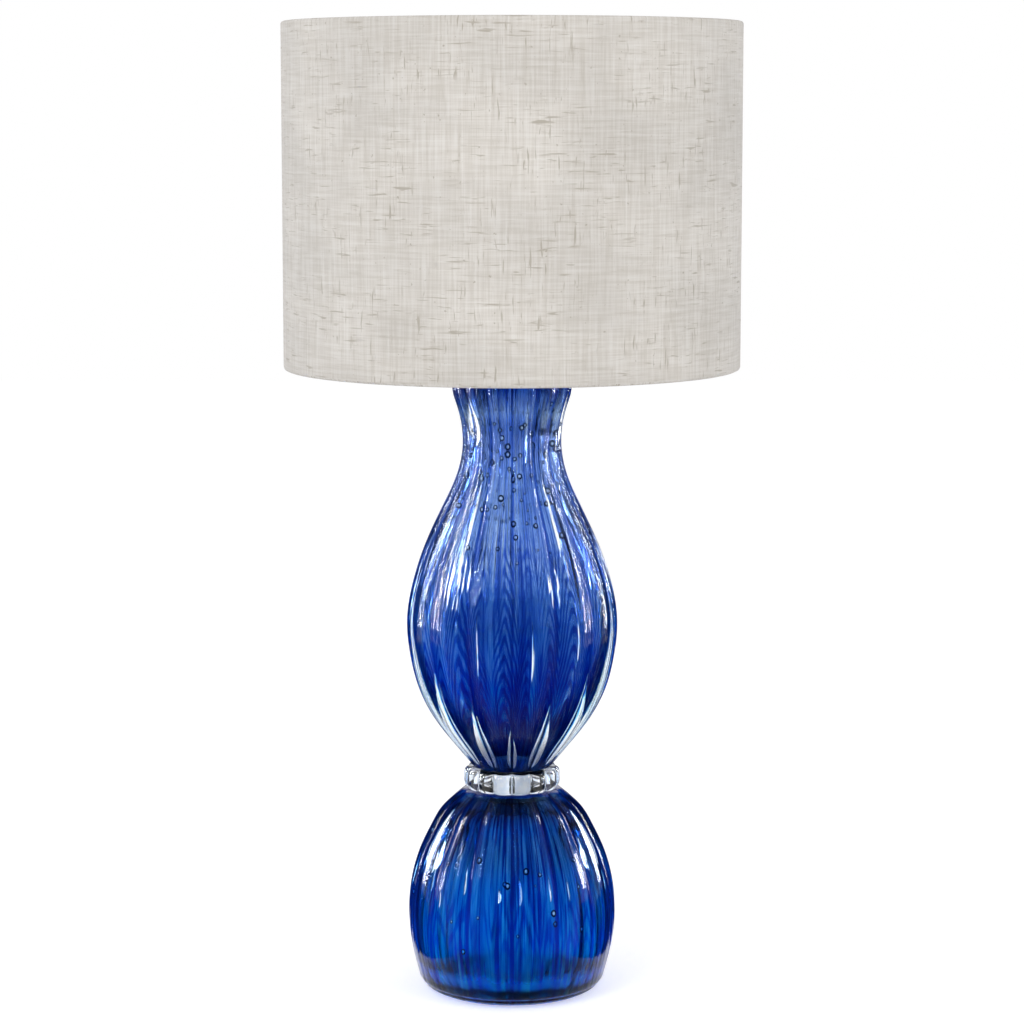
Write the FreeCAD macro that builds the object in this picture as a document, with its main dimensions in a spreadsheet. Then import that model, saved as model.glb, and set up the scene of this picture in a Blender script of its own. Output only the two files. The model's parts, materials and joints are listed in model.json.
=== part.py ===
import FreeCAD, Part
import math
import operator
import os
import Sketcher

# A table lamp of ribbed blown glass under a drum shade, in millimetres. The origin is at the
# centre of the foot on the table, +Z runs up the lamp's axis, and the lamp faces -Y.

document = FreeCAD.newDocument("table_lamp")

# ---------------------------------------------------------------- driving dimensions

LENGTHS = {
    # drum shade
    "shade_radius": 200.0,
    "shade_bottom": 559.0,
    "shade_height": 300.0,
    "linen_thick": 0.8,
    "liner_thick": 0.6,
    "hem_depth": 8.0,
    "shade_wire_radius": 1.4,
    "spider_wire_radius": 1.5,
    "arm_offset": 0.8,
    "arm_bite": 2.0,
    "slit_gap": 0.2,
    "slit_overrun": 1.0,
    "hub_radius": 10.0,
    "hub_thick": 3.6,
    "hub_hole_radius": 3.6,
    # clamped stack of glass
    "rod_radius": 5.0,
    "rod_bore_radius": 3.4,
    "rod_bottom": 4.0,
    "rod_hole_radius": 5.6,
    "rod_clearance": 0.2,
    "rod_above_seat": 6.0,
    "felt_thick": 1.2,
    "felt_outer": 63.5,
    "felt_inner": 36.0,
    "foot_flat_radius": 66.9,
    "foot_corner_radius": 17.0,
    "foot_rebate": 56.0,
    "plate_flange": 55.0,
    "plate_dish_radius": 39.0,
    "plate_dish_rise": 12.8,
    "plate_thick": 1.2,
    "plate_cord_hole": 4.2,
    "plate_cord_offset": 25.0,
    "plate_gasket_inner": 49.0,
    "plate_gasket_thick": 0.8,
    "washer_radius": 12.0,
    "washer_thick": 0.9,
    "lock_washer_radius": 8.5,
    "lock_washer_thick": 1.1,
    "lower_gasket_thick": 1.5,
    "upper_gasket_thick": 1.0,
    "ring_gasket_radius": 28.0,
    "ring_bore": 12.0,
    "ring_height": 19.0,
    "ring_edge": 3.0,
    "ring_face_ridge": 40.2,
    "ring_face_groove": 2.4,
    "ring_side_ridge": 42.4,
    "ring_side_groove": 2.8,
    "ring_middle_ridge": 42.9,
    "ring_middle_groove": 3.0,
    "neck_gasket_thick": 1.5,
    "neck_gasket_inset": 2.6,
    "cap_radius": 54.5,
    "cap_brim": 40.0,
    "cap_rise": 7.0,
    "cap_flat_radius": 16.0,
    "cap_thick": 1.2,
    "cap_slope_run": 0.4,
    "nut_height": 5.5,
    "thin_nut_height": 3.0,
    "nut_across_flats": 14.0,
    # cord outlet
    "cord_hole_height": 24.0,
    "bushing_bore": 3.6,
    "bushing_radius": 5.0,
    "bushing_flange": 6.6,
    "bushing_inner_end": 68.0,
    "bushing_seat": 83.5,
    "bushing_flange_thick": 2.0,
    "spot_face_gap": 0.4,
    # harp and saddle
    "saddle_thick": 1.6,
    "saddle_width": 12.0,
    "saddle_flat": 16.0,
    "saddle_rise": 5.2,
    "saddle_bend_run": 0.6,
    "saddle_end_half": 4.0,
    "harp_foot_spread": 32.0,
    "harp_foot_depth": 8.0,
    "harp_wire_radius": 1.7,
    "harp_spread": 57.0,
    "harp_straight": 26.0,
    "harp_flare_height": 44.0,
    "harp_height": 264.0,
    "harp_seat_radius": 8.2,
    "harp_seat_thick": 2.4,
    "harp_seat_bite": 1.0,
    "post_radius": 2.7,
    "sleeve_radius": 3.8,
    "sleeve_height": 13.0,
    "sleeve_step_gap": 1.0,
    "edge_chamfer": 0.8,
    "stud_radius": 3.1,
    "stud_height": 15.0,
    "stud_head_radius": 5.0,
    "stud_head_thick": 2.0,
    "stud_shoulder_radius": 6.5,
    "stud_shoulder_height": 1.6,
    "finial_radius": 6.5,
    "finial_height": 13.5,
    "finial_collar_height": 3.4,
    "finial_waist_inset": 1.4,
    "finial_waist_bottom": 4.4,
    "finial_waist_top": 5.2,
    "finial_bend": 5.2,
    "finial_ball_inset": 0.6,
    "finial_ball_height": 9.0,
    "finial_top_inset": 3.0,
    "finial_bore_gap": 0.4,
    # socket, switch and bulb
    "socket_radius": 16.3,
    "socket_height": 48.0,
    "shell_thick": 0.4,
    "shell_lip": 0.6,
    "socket_neck_wall": 2.5,
    "socket_neck_height": 6.0,
    "cup_rise": 10.0,
    "cup_shoulder": 2.0,
    "cup_depth": 12.0,
    "cup_wall": 0.8,
    "shell_rise": 14.0,
    "card_thick": 0.5,
    "card_top_gap": 0.5,
    "socket_block_rise": 2.0,
    "socket_block_height": 18.0,
    "socket_block_flat": 12.0,
    "terminal_rise": 13.5,
    "terminal_shank_radius": 1.5,
    "terminal_head_radius": 3.0,
    "terminal_head_thick": 1.4,
    "terminal_inner_end": 6.0,
    "screw_radius": 13.4,
    "screw_height": 24.0,
    "screw_wall": 0.5,
    "screw_floor_width": 3.0,
    "screw_ledge_gap": 0.4,
    "contact_reach": 8.0,
    "contact_tip_reach": 5.0,
    "contact_bend_reach": 4.0,
    "contact_bend_rise": 0.7,
    "contact_rise": 0.5,
    "contact_thick": 0.4,
    "contact_width": 5.0,
    "stem_radius": 2.0,
    "stem_length": 23.0,
    "stem_inner_end": 6.0,
    "switch_rise": 9.0,
    "switch_hole_gap": 1.0,
    "knob_length": 15.0,
    "knob_collar": 4.4,
    "knob_collar_length": 7.0,
    "knob_key_bottom": 6.0,
    "knob_key_foot": 3.0,
    "knob_key_shoulder": 9.5,
    "knob_key_round": 3.0,
    "knob_bore_depth": 5.0,
    "knob_width": 13.0,
    "knob_thick": 3.6,
    "bulb_radius": 30.0,
    "bulb_length": 100.0,
    "bulb_wall": 0.7,
    "bulb_rise": 1.2,
    "bulb_tip_radius": 3.4,
    "bulb_tip_rise": 1.4,
    "bulb_contact_radius": 4.6,
    "bulb_contact_height": 2.0,
    "bulb_insulator_foot": 5.0,
    "bulb_insulator_radius": 10.6,
    "bulb_insulator_top": 5.4,
    "bulb_cap_radius": 13.1,
    "bulb_cap_height": 20.0,
    "bulb_cap_inset": 1.6,
    "thread_pitch": 3.4,
    "thread_depth": 0.9,
    "thread_start": 0.6,
    "bulb_neck_radius": 12.4,
    "bulb_neck_length": 4.0,
    "bulb_neck_bend": 60.0,
    "glass_stem_foot": 6.0,
    "glass_stem_foot_height": 3.0,
    "glass_stem_flare": 12.0,
    "glass_stem_radius": 2.4,
    "glass_stem_drop": 12.0,
    "filament_length": 30.0,
    "filament_radius": 0.9,
    "filament_ring_radius": 4.2,
    "filament_overlap": 8.0,
    # gaps between pieces
    "running_gap": 0.06,
    "seat_gap": 0.1,
}

# Each row of a ribbed glass piece is one level: its height above the table, the radius to the
# ridges of its ribs, the depth of the grooves between them and the radius of its hollow.
DOME_LEVELS = {
    "foot": (1.2, 80.0, 0.0, 46.0),
    "foot_side": (18.0, 84.4, 0.0, 65.0),
    "low_side": (36.0, 88.9, 0.0, 77.0),
    "wide": (58.0, 92.0, 0.4, 81.5),
    "rib_end": (80.0, 92.3, 1.8, 82.0),
    "shoulder": (104.0, 89.3, 3.2, 78.5),
    "slope": (128.0, 81.9, 3.8, 70.0),
    "crown": (150.0, 71.3, 3.8, 57.0),
    "collar": (168.0, 59.3, 3.4, 40.0),
    "top": (181.5, 43.5, 2.8, 0.0),
}

VASE_LEVELS = {
    "bottom": (203.0, 35.5, 2.6, 0.0),
    "root": (217.0, 47.0, 3.6, 0.0),
    "lower": (239.0, 64.8, 4.4, 40.0),
    "under": (268.0, 81.2, 4.4, 66.0),
    "low_belly": (301.0, 90.4, 3.8, 78.0),
    "belly": (335.0, 93.4, 3.4, 81.5),
    "high_belly": (369.0, 87.9, 3.2, 76.5),
    "shoulder": (403.0, 76.8, 3.2, 65.0),
    "slope": (436.0, 61.6, 3.2, 49.5),
    "collar": (465.0, 48.6, 3.2, 37.0),
    "waist": (498.0, 43.6, 3.0, 32.5),
    "flare": (527.0, 49.2, 3.2, 38.0),
    "mouth": (542.0, 52.8, 3.0, 41.5),
    "lip": (550.0, 51.6, 2.4, 43.0),
}

# The dome's wall leans out by this many degrees where the rounded foot meets it.
WALL_LEAN = 12

# Each filament leans outwards by this many degrees.
FILAMENT_LEAN = 14

DOME_TOP_WALL = 10.0
VASE_FLOOR = 22.0
HOLLOW_TOP_RADIUS = 26.0
HOLLOW_FLOOR_RADIUS = 24.0

COUNTS = {
    "rib_count": 14,
    "spider_arm_count": 3,
    "filament_count": 4,
    "thread_count": 4,
}

sheet = document.addObject("Spreadsheet::Sheet", "sizes")


def fill_sheet(values):
    """Write one named number to each row of the sheet."""
    for row, (alias, value) in enumerate(values.items(), start=1):
        sheet.set(f"A{row}", alias)
        sheet.set(f"B{row}", str(value))
        sheet.setAlias(f"B{row}", alias)


def level_cells(piece, levels):
    """The cells of a glass piece: three or four numbers for each of its levels."""
    cells = {}
    for name, (height, ridge, groove, hollow) in levels.items():
        cells[f"{piece}_{name}_height"] = height
        cells[f"{piece}_{name}_ridge"] = ridge
        cells[f"{piece}_{name}_groove"] = groove
        cells[f"{piece}_{name}_hollow"] = hollow
    return cells


hollow_cells = {
    "dome_top_wall": DOME_TOP_WALL,
    "dome_hollow_top": HOLLOW_TOP_RADIUS,
    "vase_floor": VASE_FLOOR,
    "vase_hollow_floor": HOLLOW_FLOOR_RADIUS,
}
fill_sheet({
    **LENGTHS,
    **COUNTS,
    **hollow_cells,
    **level_cells("dome", DOME_LEVELS),
    **level_cells("vase", VASE_LEVELS),
})
document.recompute()


class Size:
    """A number from the sheet, or worked out from it, with the expression that gives it."""

    def __init__(self, value, text):
        self.value = value
        self.text = text

    def __add__(self, other):
        return worked_out(self, "+", other)

    def __radd__(self, other):
        return worked_out(other, "+", self)

    def __sub__(self, other):
        return worked_out(self, "-", other)

    def __rsub__(self, other):
        return worked_out(other, "-", self)

    def __mul__(self, other):
        return worked_out(self, "*", other)

    def __rmul__(self, other):
        return worked_out(other, "*", self)

    def __truediv__(self, other):
        return worked_out(self, "/", other)

    def __neg__(self):
        return worked_out(0, "-", self)


SIGNS = {"+": operator.add, "-": operator.sub, "*": operator.mul, "/": operator.truediv}


def as_size(number):
    """A plain number as a Size, and a Size as it is."""
    if isinstance(number, Size):
        return number
    return Size(number, str(number))


def worked_out(left, sign, right):
    """Join two sizes by a sign, both as a value and as an expression."""
    left = as_size(left)
    right = as_size(right)
    return Size(SIGNS[sign](left.value, right.value), f"({left.text} {sign} {right.text})")


def cell(alias):
    """The sheet's number of that name."""
    return Size(float(sheet.get(alias)), f"sizes.{alias}")


# ---------------------------------------------------------------- sketches and features

ORIGIN_POINT = (-1, 1)
HORIZONTAL_AXIS = -1
VERTICAL_AXIS = -2
START = 1
END = 2
CENTRE = 3

sub_parts = []


def new_body(label):
    """An empty body for one sub-part."""
    body = document.addObject("PartDesign::Body", label)
    body.Label = label
    sub_parts.append(body)
    return body


def origin_feature(body, role):
    """The body's own plane or axis of that role."""
    for feature in body.Origin.OriginFeatures:
        if feature.Role == role:
            return feature
    raise ValueError(role)


def new_sketch(body, role, offset=0):
    """A sketch on one of the body's own planes, moved along the plane's normal."""
    sketch = body.newObject("Sketcher::SketchObject", f"{body.Name}_sketch")
    sketch.AttachmentSupport = [(origin_feature(body, role), "")]
    sketch.MapMode = "FlatFace"
    sketch.setExpression("AttachmentOffset.Base.z", as_size(offset).text)
    return sketch


def bind(sketch, constraint, size):
    """Add a dimension that follows the sheet."""
    index = sketch.addConstraint(constraint)
    sketch.setExpression(f"Constraints[{index}]", size.text)


def place_point(sketch, geometry, point, across, up):
    """Fix one point of a sketch by its two distances from the origin."""
    across = as_size(across)
    up = as_size(up)
    if abs(across.value) < 1e-9:
        sketch.addConstraint(Sketcher.Constraint("PointOnObject", geometry, point, VERTICAL_AXIS))
    else:
        dimension = Sketcher.Constraint("DistanceX", *ORIGIN_POINT, geometry, point, across.value)
        bind(sketch, dimension, across)
    if abs(up.value) < 1e-9:
        sketch.addConstraint(Sketcher.Constraint("PointOnObject", geometry, point, HORIZONTAL_AXIS))
    else:
        dimension = Sketcher.Constraint("DistanceY", *ORIGIN_POINT, geometry, point, up.value)
        bind(sketch, dimension, up)


def vector(corner):
    """A corner's place in its sketch."""
    return FreeCAD.Vector(as_size(corner[0]).value, as_size(corner[1]).value, 0)


def bent_edge(start, end, bend):
    """An arc of under a half circle. A positive bend has its centre to the left of the way."""
    chord = end - start
    half = chord.Length / 2
    radius = abs(bend)
    left = FreeCAD.Vector(-chord.y, chord.x, 0).normalize()
    side = math.copysign(1, bend)
    centre = (start + end) / 2 + left * side * math.sqrt(radius * radius - half * half)
    way_out = ((start + end) / 2 - centre).normalize()
    return Part.Arc(start, centre + way_out * radius, end)


def draw_outline(sketch, corners, closed=True):
    """Draw lines and arcs through the corners, each fixed by the sheet.

    A corner is (across, up), or (across, up, bend) where an arc of radius bend leads on.
    """
    edge_count = len(corners) if closed else len(corners) - 1
    ends = []
    for number in range(edge_count):
        corner = corners[number]
        start = vector(corner)
        end = vector(corners[(number + 1) % len(corners)])
        if len(corner) == 2:
            geometry = sketch.addGeometry(Part.LineSegment(start, end))
            ends.append((geometry, START, END))
            continue
        bend = as_size(corner[2])
        geometry = sketch.addGeometry(bent_edge(start, end, bend.value))
        anticlockwise = bend.value > 0
        ends.append((geometry, START, END) if anticlockwise else (geometry, END, START))
        radius = bend if anticlockwise else -bend
        bind(sketch, Sketcher.Constraint("Radius", geometry, radius.value), radius)
    for number in range(edge_count):
        geometry, start_point, end_point = ends[number]
        place_point(sketch, geometry, start_point, *corners[number][:2])
        if number + 1 < edge_count or closed:
            following, following_start, _ = ends[(number + 1) % edge_count]
            joint = Sketcher.Constraint("Coincident", geometry, end_point, following, following_start)
            sketch.addConstraint(joint)
        else:
            place_point(sketch, geometry, end_point, *corners[-1][:2])


def draw_circle(sketch, radius, across=0, up=0):
    """Draw a full circle, fixed by the sheet."""
    radius = as_size(radius)
    centre = vector((across, up))
    circle = sketch.addGeometry(Part.Circle(centre, FreeCAD.Vector(0, 0, 1), radius.value))
    bind(sketch, Sketcher.Constraint("Radius", circle, radius.value), radius)
    place_point(sketch, circle, CENTRE, across, up)


def turn(body, corners):
    """Add the outline, drawn as (radius, height), turned about the body's Z axis."""
    sketch = new_sketch(body, "XZ_Plane")
    draw_outline(sketch, corners)
    feature = body.newObject("PartDesign::Revolution", f"{body.Name}_turned")
    feature.Profile = sketch
    feature.ReferenceAxis = (sketch, ["V_Axis"])
    feature.Angle = 360
    return feature


def cut_turned(body, corners):
    """Cut the outline, drawn as (radius, height), turned about the body's Z axis."""
    sketch = new_sketch(body, "XZ_Plane")
    draw_outline(sketch, corners)
    feature = body.newObject("PartDesign::Groove", f"{body.Name}_groove")
    feature.Profile = sketch
    feature.ReferenceAxis = (sketch, ["V_Axis"])
    feature.Angle = 360
    return feature


def raise_pad(body, sketch, length, midplane=False, reverse=False):
    """Add the sketch's outline, raised along its normal."""
    feature = body.newObject("PartDesign::Pad", f"{body.Name}_pad")
    feature.Profile = sketch
    feature.setExpression("Length", as_size(length).text)
    feature.Midplane = midplane
    feature.Reversed = reverse
    return feature


def cut_through(body, sketch, reverse=False, midplane=False):
    """Cut the sketch's outline through everything on one side of its plane, or on both."""
    feature = body.newObject("PartDesign::Pocket", f"{body.Name}_pocket")
    feature.Profile = sketch
    feature.Type = "ThroughAll"
    feature.Midplane = midplane
    feature.Reversed = reverse
    return feature


def sweep(body, profile, spine):
    """Add the profile, carried along the spine."""
    feature = body.newObject("PartDesign::AdditivePipe", f"{body.Name}_wire")
    feature.Profile = profile
    feature.Spine = (spine, [""])
    return feature


def repeat_round(body, feature, count):
    """Repeat a feature evenly round the body's Z axis."""
    pattern = body.newObject("PartDesign::PolarPattern", f"{body.Name}_round")
    pattern.Originals = [feature]
    pattern.Axis = (origin_feature(body, "Z_Axis"), [""])
    pattern.Angle = 360
    pattern.setExpression("Occurrences", count.text)
    body.Tip = pattern
    return pattern


def turned_part(label, corners):
    """A sub-part that is one turned outline."""
    body = new_body(label)
    turn(body, corners)
    return body


def ring_part(label, inner, outer, bottom, top):
    """A flat or tall ring of rectangular section."""
    return turned_part(label, [(inner, bottom), (outer, bottom), (outer, top), (inner, top)])


def hex_nut(label, bottom, height):
    """A hexagonal nut on the rod."""
    body = new_body(label)
    sketch = new_sketch(body, "XY_Plane", bottom)
    corner_radius = cell("nut_across_flats") / 2 / Size(math.cos(math.pi / 6), "cos(30 deg)")
    corners = []
    for number in range(6):
        angle = 60 * number
        across = corner_radius * Size(math.cos(math.radians(angle)), f"cos({angle} deg)")
        up = corner_radius * Size(math.sin(math.radians(angle)), f"sin({angle} deg)")
        corners.append((across, up))
    draw_outline(sketch, corners)
    draw_circle(sketch, cell("rod_radius"))
    raise_pad(body, sketch, height)
    return body


# ---------------------------------------------------------------- ribbed glass

HALF_RIB_COS = Size(math.cos(math.pi / COUNTS["rib_count"]), "cos(180 deg / sizes.rib_count)")
HALF_RIB_SIN = Size(math.sin(math.pi / COUNTS["rib_count"]), "sin(180 deg / sizes.rib_count)")


def rib_section(body, height, ridge, groove):
    """One rib's slice: from the axis out to the two grooves, closed by an arc over the ridge."""
    valley = ridge - groove
    across = valley * HALF_RIB_COS
    half_width = valley * HALF_RIB_SIN
    arc_rise = ridge - across
    arc_radius = (half_width * half_width + arc_rise * arc_rise) / (2 * arc_rise)
    sketch = new_sketch(body, "XY_Plane", height)
    draw_outline(sketch, [(0, 0), (across, -half_width, arc_radius), (across, half_width)])
    return sketch


def ribbed_body(label, piece, levels):
    """A closed body of ribs, lofted through its levels and repeated round the axis."""
    body = new_body(label)
    sections = []
    for name in levels:
        height = cell(f"{piece}_{name}_height")
        ridge = cell(f"{piece}_{name}_ridge")
        groove = cell(f"{piece}_{name}_groove")
        sections.append(rib_section(body, height, ridge, groove))
    return loft_ribs(body, sections)


def loft_ribs(body, sections):
    """Loft one rib through its sections and repeat it round the axis."""
    loft = body.newObject("PartDesign::AdditiveLoft", f"{body.Name}_rib")
    loft.Profile = sections[0]
    loft.Sections = sections[1:]
    repeat_round(body, loft, cell("rib_count"))
    return body


def hollow_out(body, rounds):
    """Cut a round hollow that passes through circles given as (height, radius)."""
    sections = []
    for height, radius in rounds:
        sketch = new_sketch(body, "XY_Plane", height)
        draw_circle(sketch, radius)
        sections.append(sketch)
    hollow = body.newObject("PartDesign::SubtractiveLoft", f"{body.Name}_hollow")
    hollow.Profile = sections[0]
    hollow.Sections = sections[1:]


def drill_rod_hole(body, radius):
    """Drill the hole for the rod right through the piece."""
    sketch = new_sketch(body, "XY_Plane")
    draw_circle(sketch, radius)
    cut_through(body, sketch, reverse=True)


glass_foot = cell("dome_foot_height")
glass_foot_rebate = cell("felt_thick") + cell("plate_thick") + cell("plate_gasket_thick")
dome_top = cell("dome_top_height")
ring_bottom = dome_top + cell("lower_gasket_thick")
ring_top = ring_bottom + cell("ring_height")
vase_bottom = cell("vase_bottom_height")
vase_lip = cell("vase_lip_height")


def make_lower_glass_dome():
    """The dome: hollow, open below, with a rounded foot and a drilled cord hole at the back."""
    body = ribbed_body("lower_glass_dome", "dome", DOME_LEVELS)
    rounds = []
    for name in list(DOME_LEVELS)[:-1]:
        rounds.append((cell(f"dome_{name}_height"), cell(f"dome_{name}_hollow")))
    rounds.append((dome_top - cell("dome_top_wall"), cell("dome_hollow_top")))
    hollow_out(body, rounds)
    foot_radius = cell("foot_flat_radius")
    corner = cell("foot_corner_radius")
    corner_width = corner * Size(math.cos(math.radians(WALL_LEAN)), f"cos({WALL_LEAN} deg)")
    corner_rise = corner - corner * Size(math.sin(math.radians(WALL_LEAN)), f"sin({WALL_LEAN} deg)")
    outside = cell("shade_radius") / 2
    cut_turned(body, [
        (foot_radius, glass_foot, corner),
        (foot_radius + corner_width, glass_foot + corner_rise),
        (outside, glass_foot + corner_rise),
        (outside, 0),
        (foot_radius, 0),
    ])
    cut_turned(body, [
        (cell("felt_inner"), 0),
        (cell("foot_rebate"), 0),
        (cell("foot_rebate"), glass_foot_rebate),
        (cell("felt_inner"), glass_foot_rebate),
    ])
    drill_rod_hole(body, cell("rod_hole_radius"))
    cord_hole = new_sketch(body, "XZ_Plane")
    draw_circle(cord_hole, cell("bushing_radius"), 0, cell("cord_hole_height"))
    cut_through(body, cord_hole)
    spot_face = new_sketch(body, "XZ_Plane", -cell("bushing_seat"))
    draw_circle(spot_face, cell("bushing_flange") + cell("spot_face_gap"), 0, cell("cord_hole_height"))
    cut_through(body, spot_face)


def make_crystal_ring():
    """The clear ring of rounded lobes between the two glass forms."""
    body = new_body("crystal_ring")
    edge = cell("ring_edge")
    face = (cell("ring_face_ridge"), cell("ring_face_groove"))
    side = (cell("ring_side_ridge"), cell("ring_side_groove"))
    sections = [
        rib_section(body, ring_bottom, *face),
        rib_section(body, ring_bottom + edge, *side),
        rib_section(body, (ring_bottom + ring_top) / 2,
                    cell("ring_middle_ridge"), cell("ring_middle_groove")),
        rib_section(body, ring_top - edge, *side),
        rib_section(body, ring_top, *face),
    ]
    loft_ribs(body, sections)
    drill_rod_hole(body, cell("ring_bore"))


def make_upper_glass_vase():
    """The vase: hollow with a thick floor, a waisted neck and a flared mouth."""
    body = ribbed_body("upper_glass_vase", "vase", VASE_LEVELS)
    rounds = [(vase_bottom + cell("vase_floor"), cell("vase_hollow_floor"))]
    for name, (_, _, _, hollow) in VASE_LEVELS.items():
        if hollow > 0:
            rounds.append((cell(f"vase_{name}_height"), cell(f"vase_{name}_hollow")))
    hollow_out(body, rounds)
    drill_rod_hole(body, cell("rod_hole_radius"))


# ---------------------------------------------------------------- clamped stack

cap_seat = vase_lip + cell("neck_gasket_thick")
cap_top = cap_seat + cell("cap_rise") + cell("cap_thick")
saddle_seat = cap_top + cell("thin_nut_height")
saddle_top = saddle_seat + cell("saddle_thick")
socket_seat = saddle_top + cell("thin_nut_height")
plate_top = cell("plate_dish_rise") + cell("plate_thick")
rod_clear_bore = cell("rod_radius") + cell("rod_clearance")


def make_base_plate():
    """The dished plate: a flange under the glass and a raised middle with a hole for the rod."""
    flange_bottom = cell("felt_thick")
    flange_top = flange_bottom + cell("plate_thick")
    body = turned_part("base_plate", [
        (cell("plate_dish_radius") - cell("plate_thick"), flange_bottom),
        (cell("plate_flange"), flange_bottom),
        (cell("plate_flange"), flange_top),
        (cell("plate_dish_radius"), flange_top),
        (cell("plate_dish_radius"), plate_top),
        (rod_clear_bore, plate_top),
        (rod_clear_bore, cell("plate_dish_rise")),
        (cell("plate_dish_radius") - cell("plate_thick"), cell("plate_dish_rise")),
    ])
    cord_way = new_sketch(body, "XY_Plane")
    draw_circle(cord_way, cell("plate_cord_hole"), 0, cell("plate_cord_offset"))
    cut_through(body, cord_way, reverse=True)


def make_stack_fasteners():
    """The nut and washers under the plate, the nuts on the cap and the hollow rod."""
    washer_bottom = cell("plate_dish_rise") - cell("washer_thick")
    lock_bottom = washer_bottom - cell("lock_washer_thick")
    ring_part("bottom_washer", rod_clear_bore, cell("washer_radius"),
              washer_bottom, cell("plate_dish_rise"))
    ring_part("bottom_lock_washer", rod_clear_bore, cell("lock_washer_radius"),
              lock_bottom, washer_bottom)
    hex_nut("bottom_nut", lock_bottom - cell("nut_height"), cell("nut_height"))
    hex_nut("cap_nut", cap_top, cell("thin_nut_height"))
    hex_nut("saddle_nut", saddle_top, cell("thin_nut_height"))
    ring_part("threaded_rod", cell("rod_bore_radius"), cell("rod_radius"),
              cell("rod_bottom"), socket_seat + cell("rod_above_seat"))


def make_seals():
    """The felt under the foot and the soft rings between the clamped pieces."""
    ring_part("foot_felt", cell("felt_inner"), cell("felt_outer"), 0, cell("felt_thick"))
    flange_top = cell("felt_thick") + cell("plate_thick")
    ring_part("base_plate_gasket", cell("plate_gasket_inner"), cell("plate_flange"),
              flange_top, glass_foot_rebate)
    ring_part("lower_ring_gasket", cell("ring_bore"), cell("ring_gasket_radius"),
              dome_top, ring_bottom)
    ring_part("upper_ring_gasket", cell("ring_bore"), cell("ring_gasket_radius"),
              ring_top, vase_bottom)
    ring_part("neck_gasket", cell("vase_lip_hollow"),
              cell("vase_lip_ridge") - cell("neck_gasket_inset"), vase_lip, cap_seat)


def make_neck_cap():
    """The spun cap: a flat brim on the glass and a dished middle that the nut clamps."""
    rise = cap_seat + cell("cap_rise")
    run = cell("cap_slope_run")
    turned_part("neck_cap", [
        (cell("cap_brim"), cap_seat),
        (cell("cap_radius"), cap_seat),
        (cell("cap_radius"), cap_seat + cell("cap_thick")),
        (cell("cap_brim") + run, cap_seat + cell("cap_thick")),
        (cell("cap_flat_radius") + run, cap_top),
        (cell("rod_radius"), cap_top),
        (cell("rod_radius"), rise),
        (cell("cap_flat_radius"), rise),
    ])


def make_cord_bushing():
    """The flanged bush of the cord outlet, lying along +Y in the back of the dome."""
    length = cell("bushing_seat") + cell("bushing_flange_thick") - cell("bushing_inner_end")
    body = turned_part("cord_bushing", [
        (cell("bushing_bore"), 0),
        (cell("bushing_radius"), 0),
        (cell("bushing_radius"), length - cell("bushing_flange_thick")),
        (cell("bushing_flange"), length - cell("bushing_flange_thick")),
        (cell("bushing_flange"), length),
        (cell("bushing_bore"), length),
    ])
    body.Placement.Rotation = FreeCAD.Rotation(FreeCAD.Vector(1, 0, 0), -90)
    body.setExpression("Placement.Base.y", cell("bushing_inner_end").text)
    body.setExpression("Placement.Base.z", cell("cord_hole_height").text)


# ---------------------------------------------------------------- socket, switch and bulb

cup_floor = socket_seat + cell("cup_rise")
shell_bottom = socket_seat + cell("shell_rise")
shell_top = shell_bottom + cell("socket_height")
shell_inner = cell("socket_radius") - cell("shell_thick")
card_inner = shell_inner - cell("seat_gap") - cell("card_thick")
block_radius = card_inner - cell("seat_gap")
block_bottom = shell_bottom + cell("socket_block_rise")
block_top = block_bottom + cell("socket_block_height")
switch_height = block_bottom + cell("switch_rise")
screw_top = block_top + cell("screw_height")
switch_hole = cell("stem_radius") + cell("switch_hole_gap")
terminal_height = block_bottom + cell("terminal_rise")


def cut_switch_hole(body, radius):
    """Cut a round hole towards -Y at the height of the switch."""
    sketch = new_sketch(body, "XZ_Plane")
    draw_circle(sketch, radius, 0, switch_height)
    cut_through(body, sketch, reverse=True)


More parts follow.
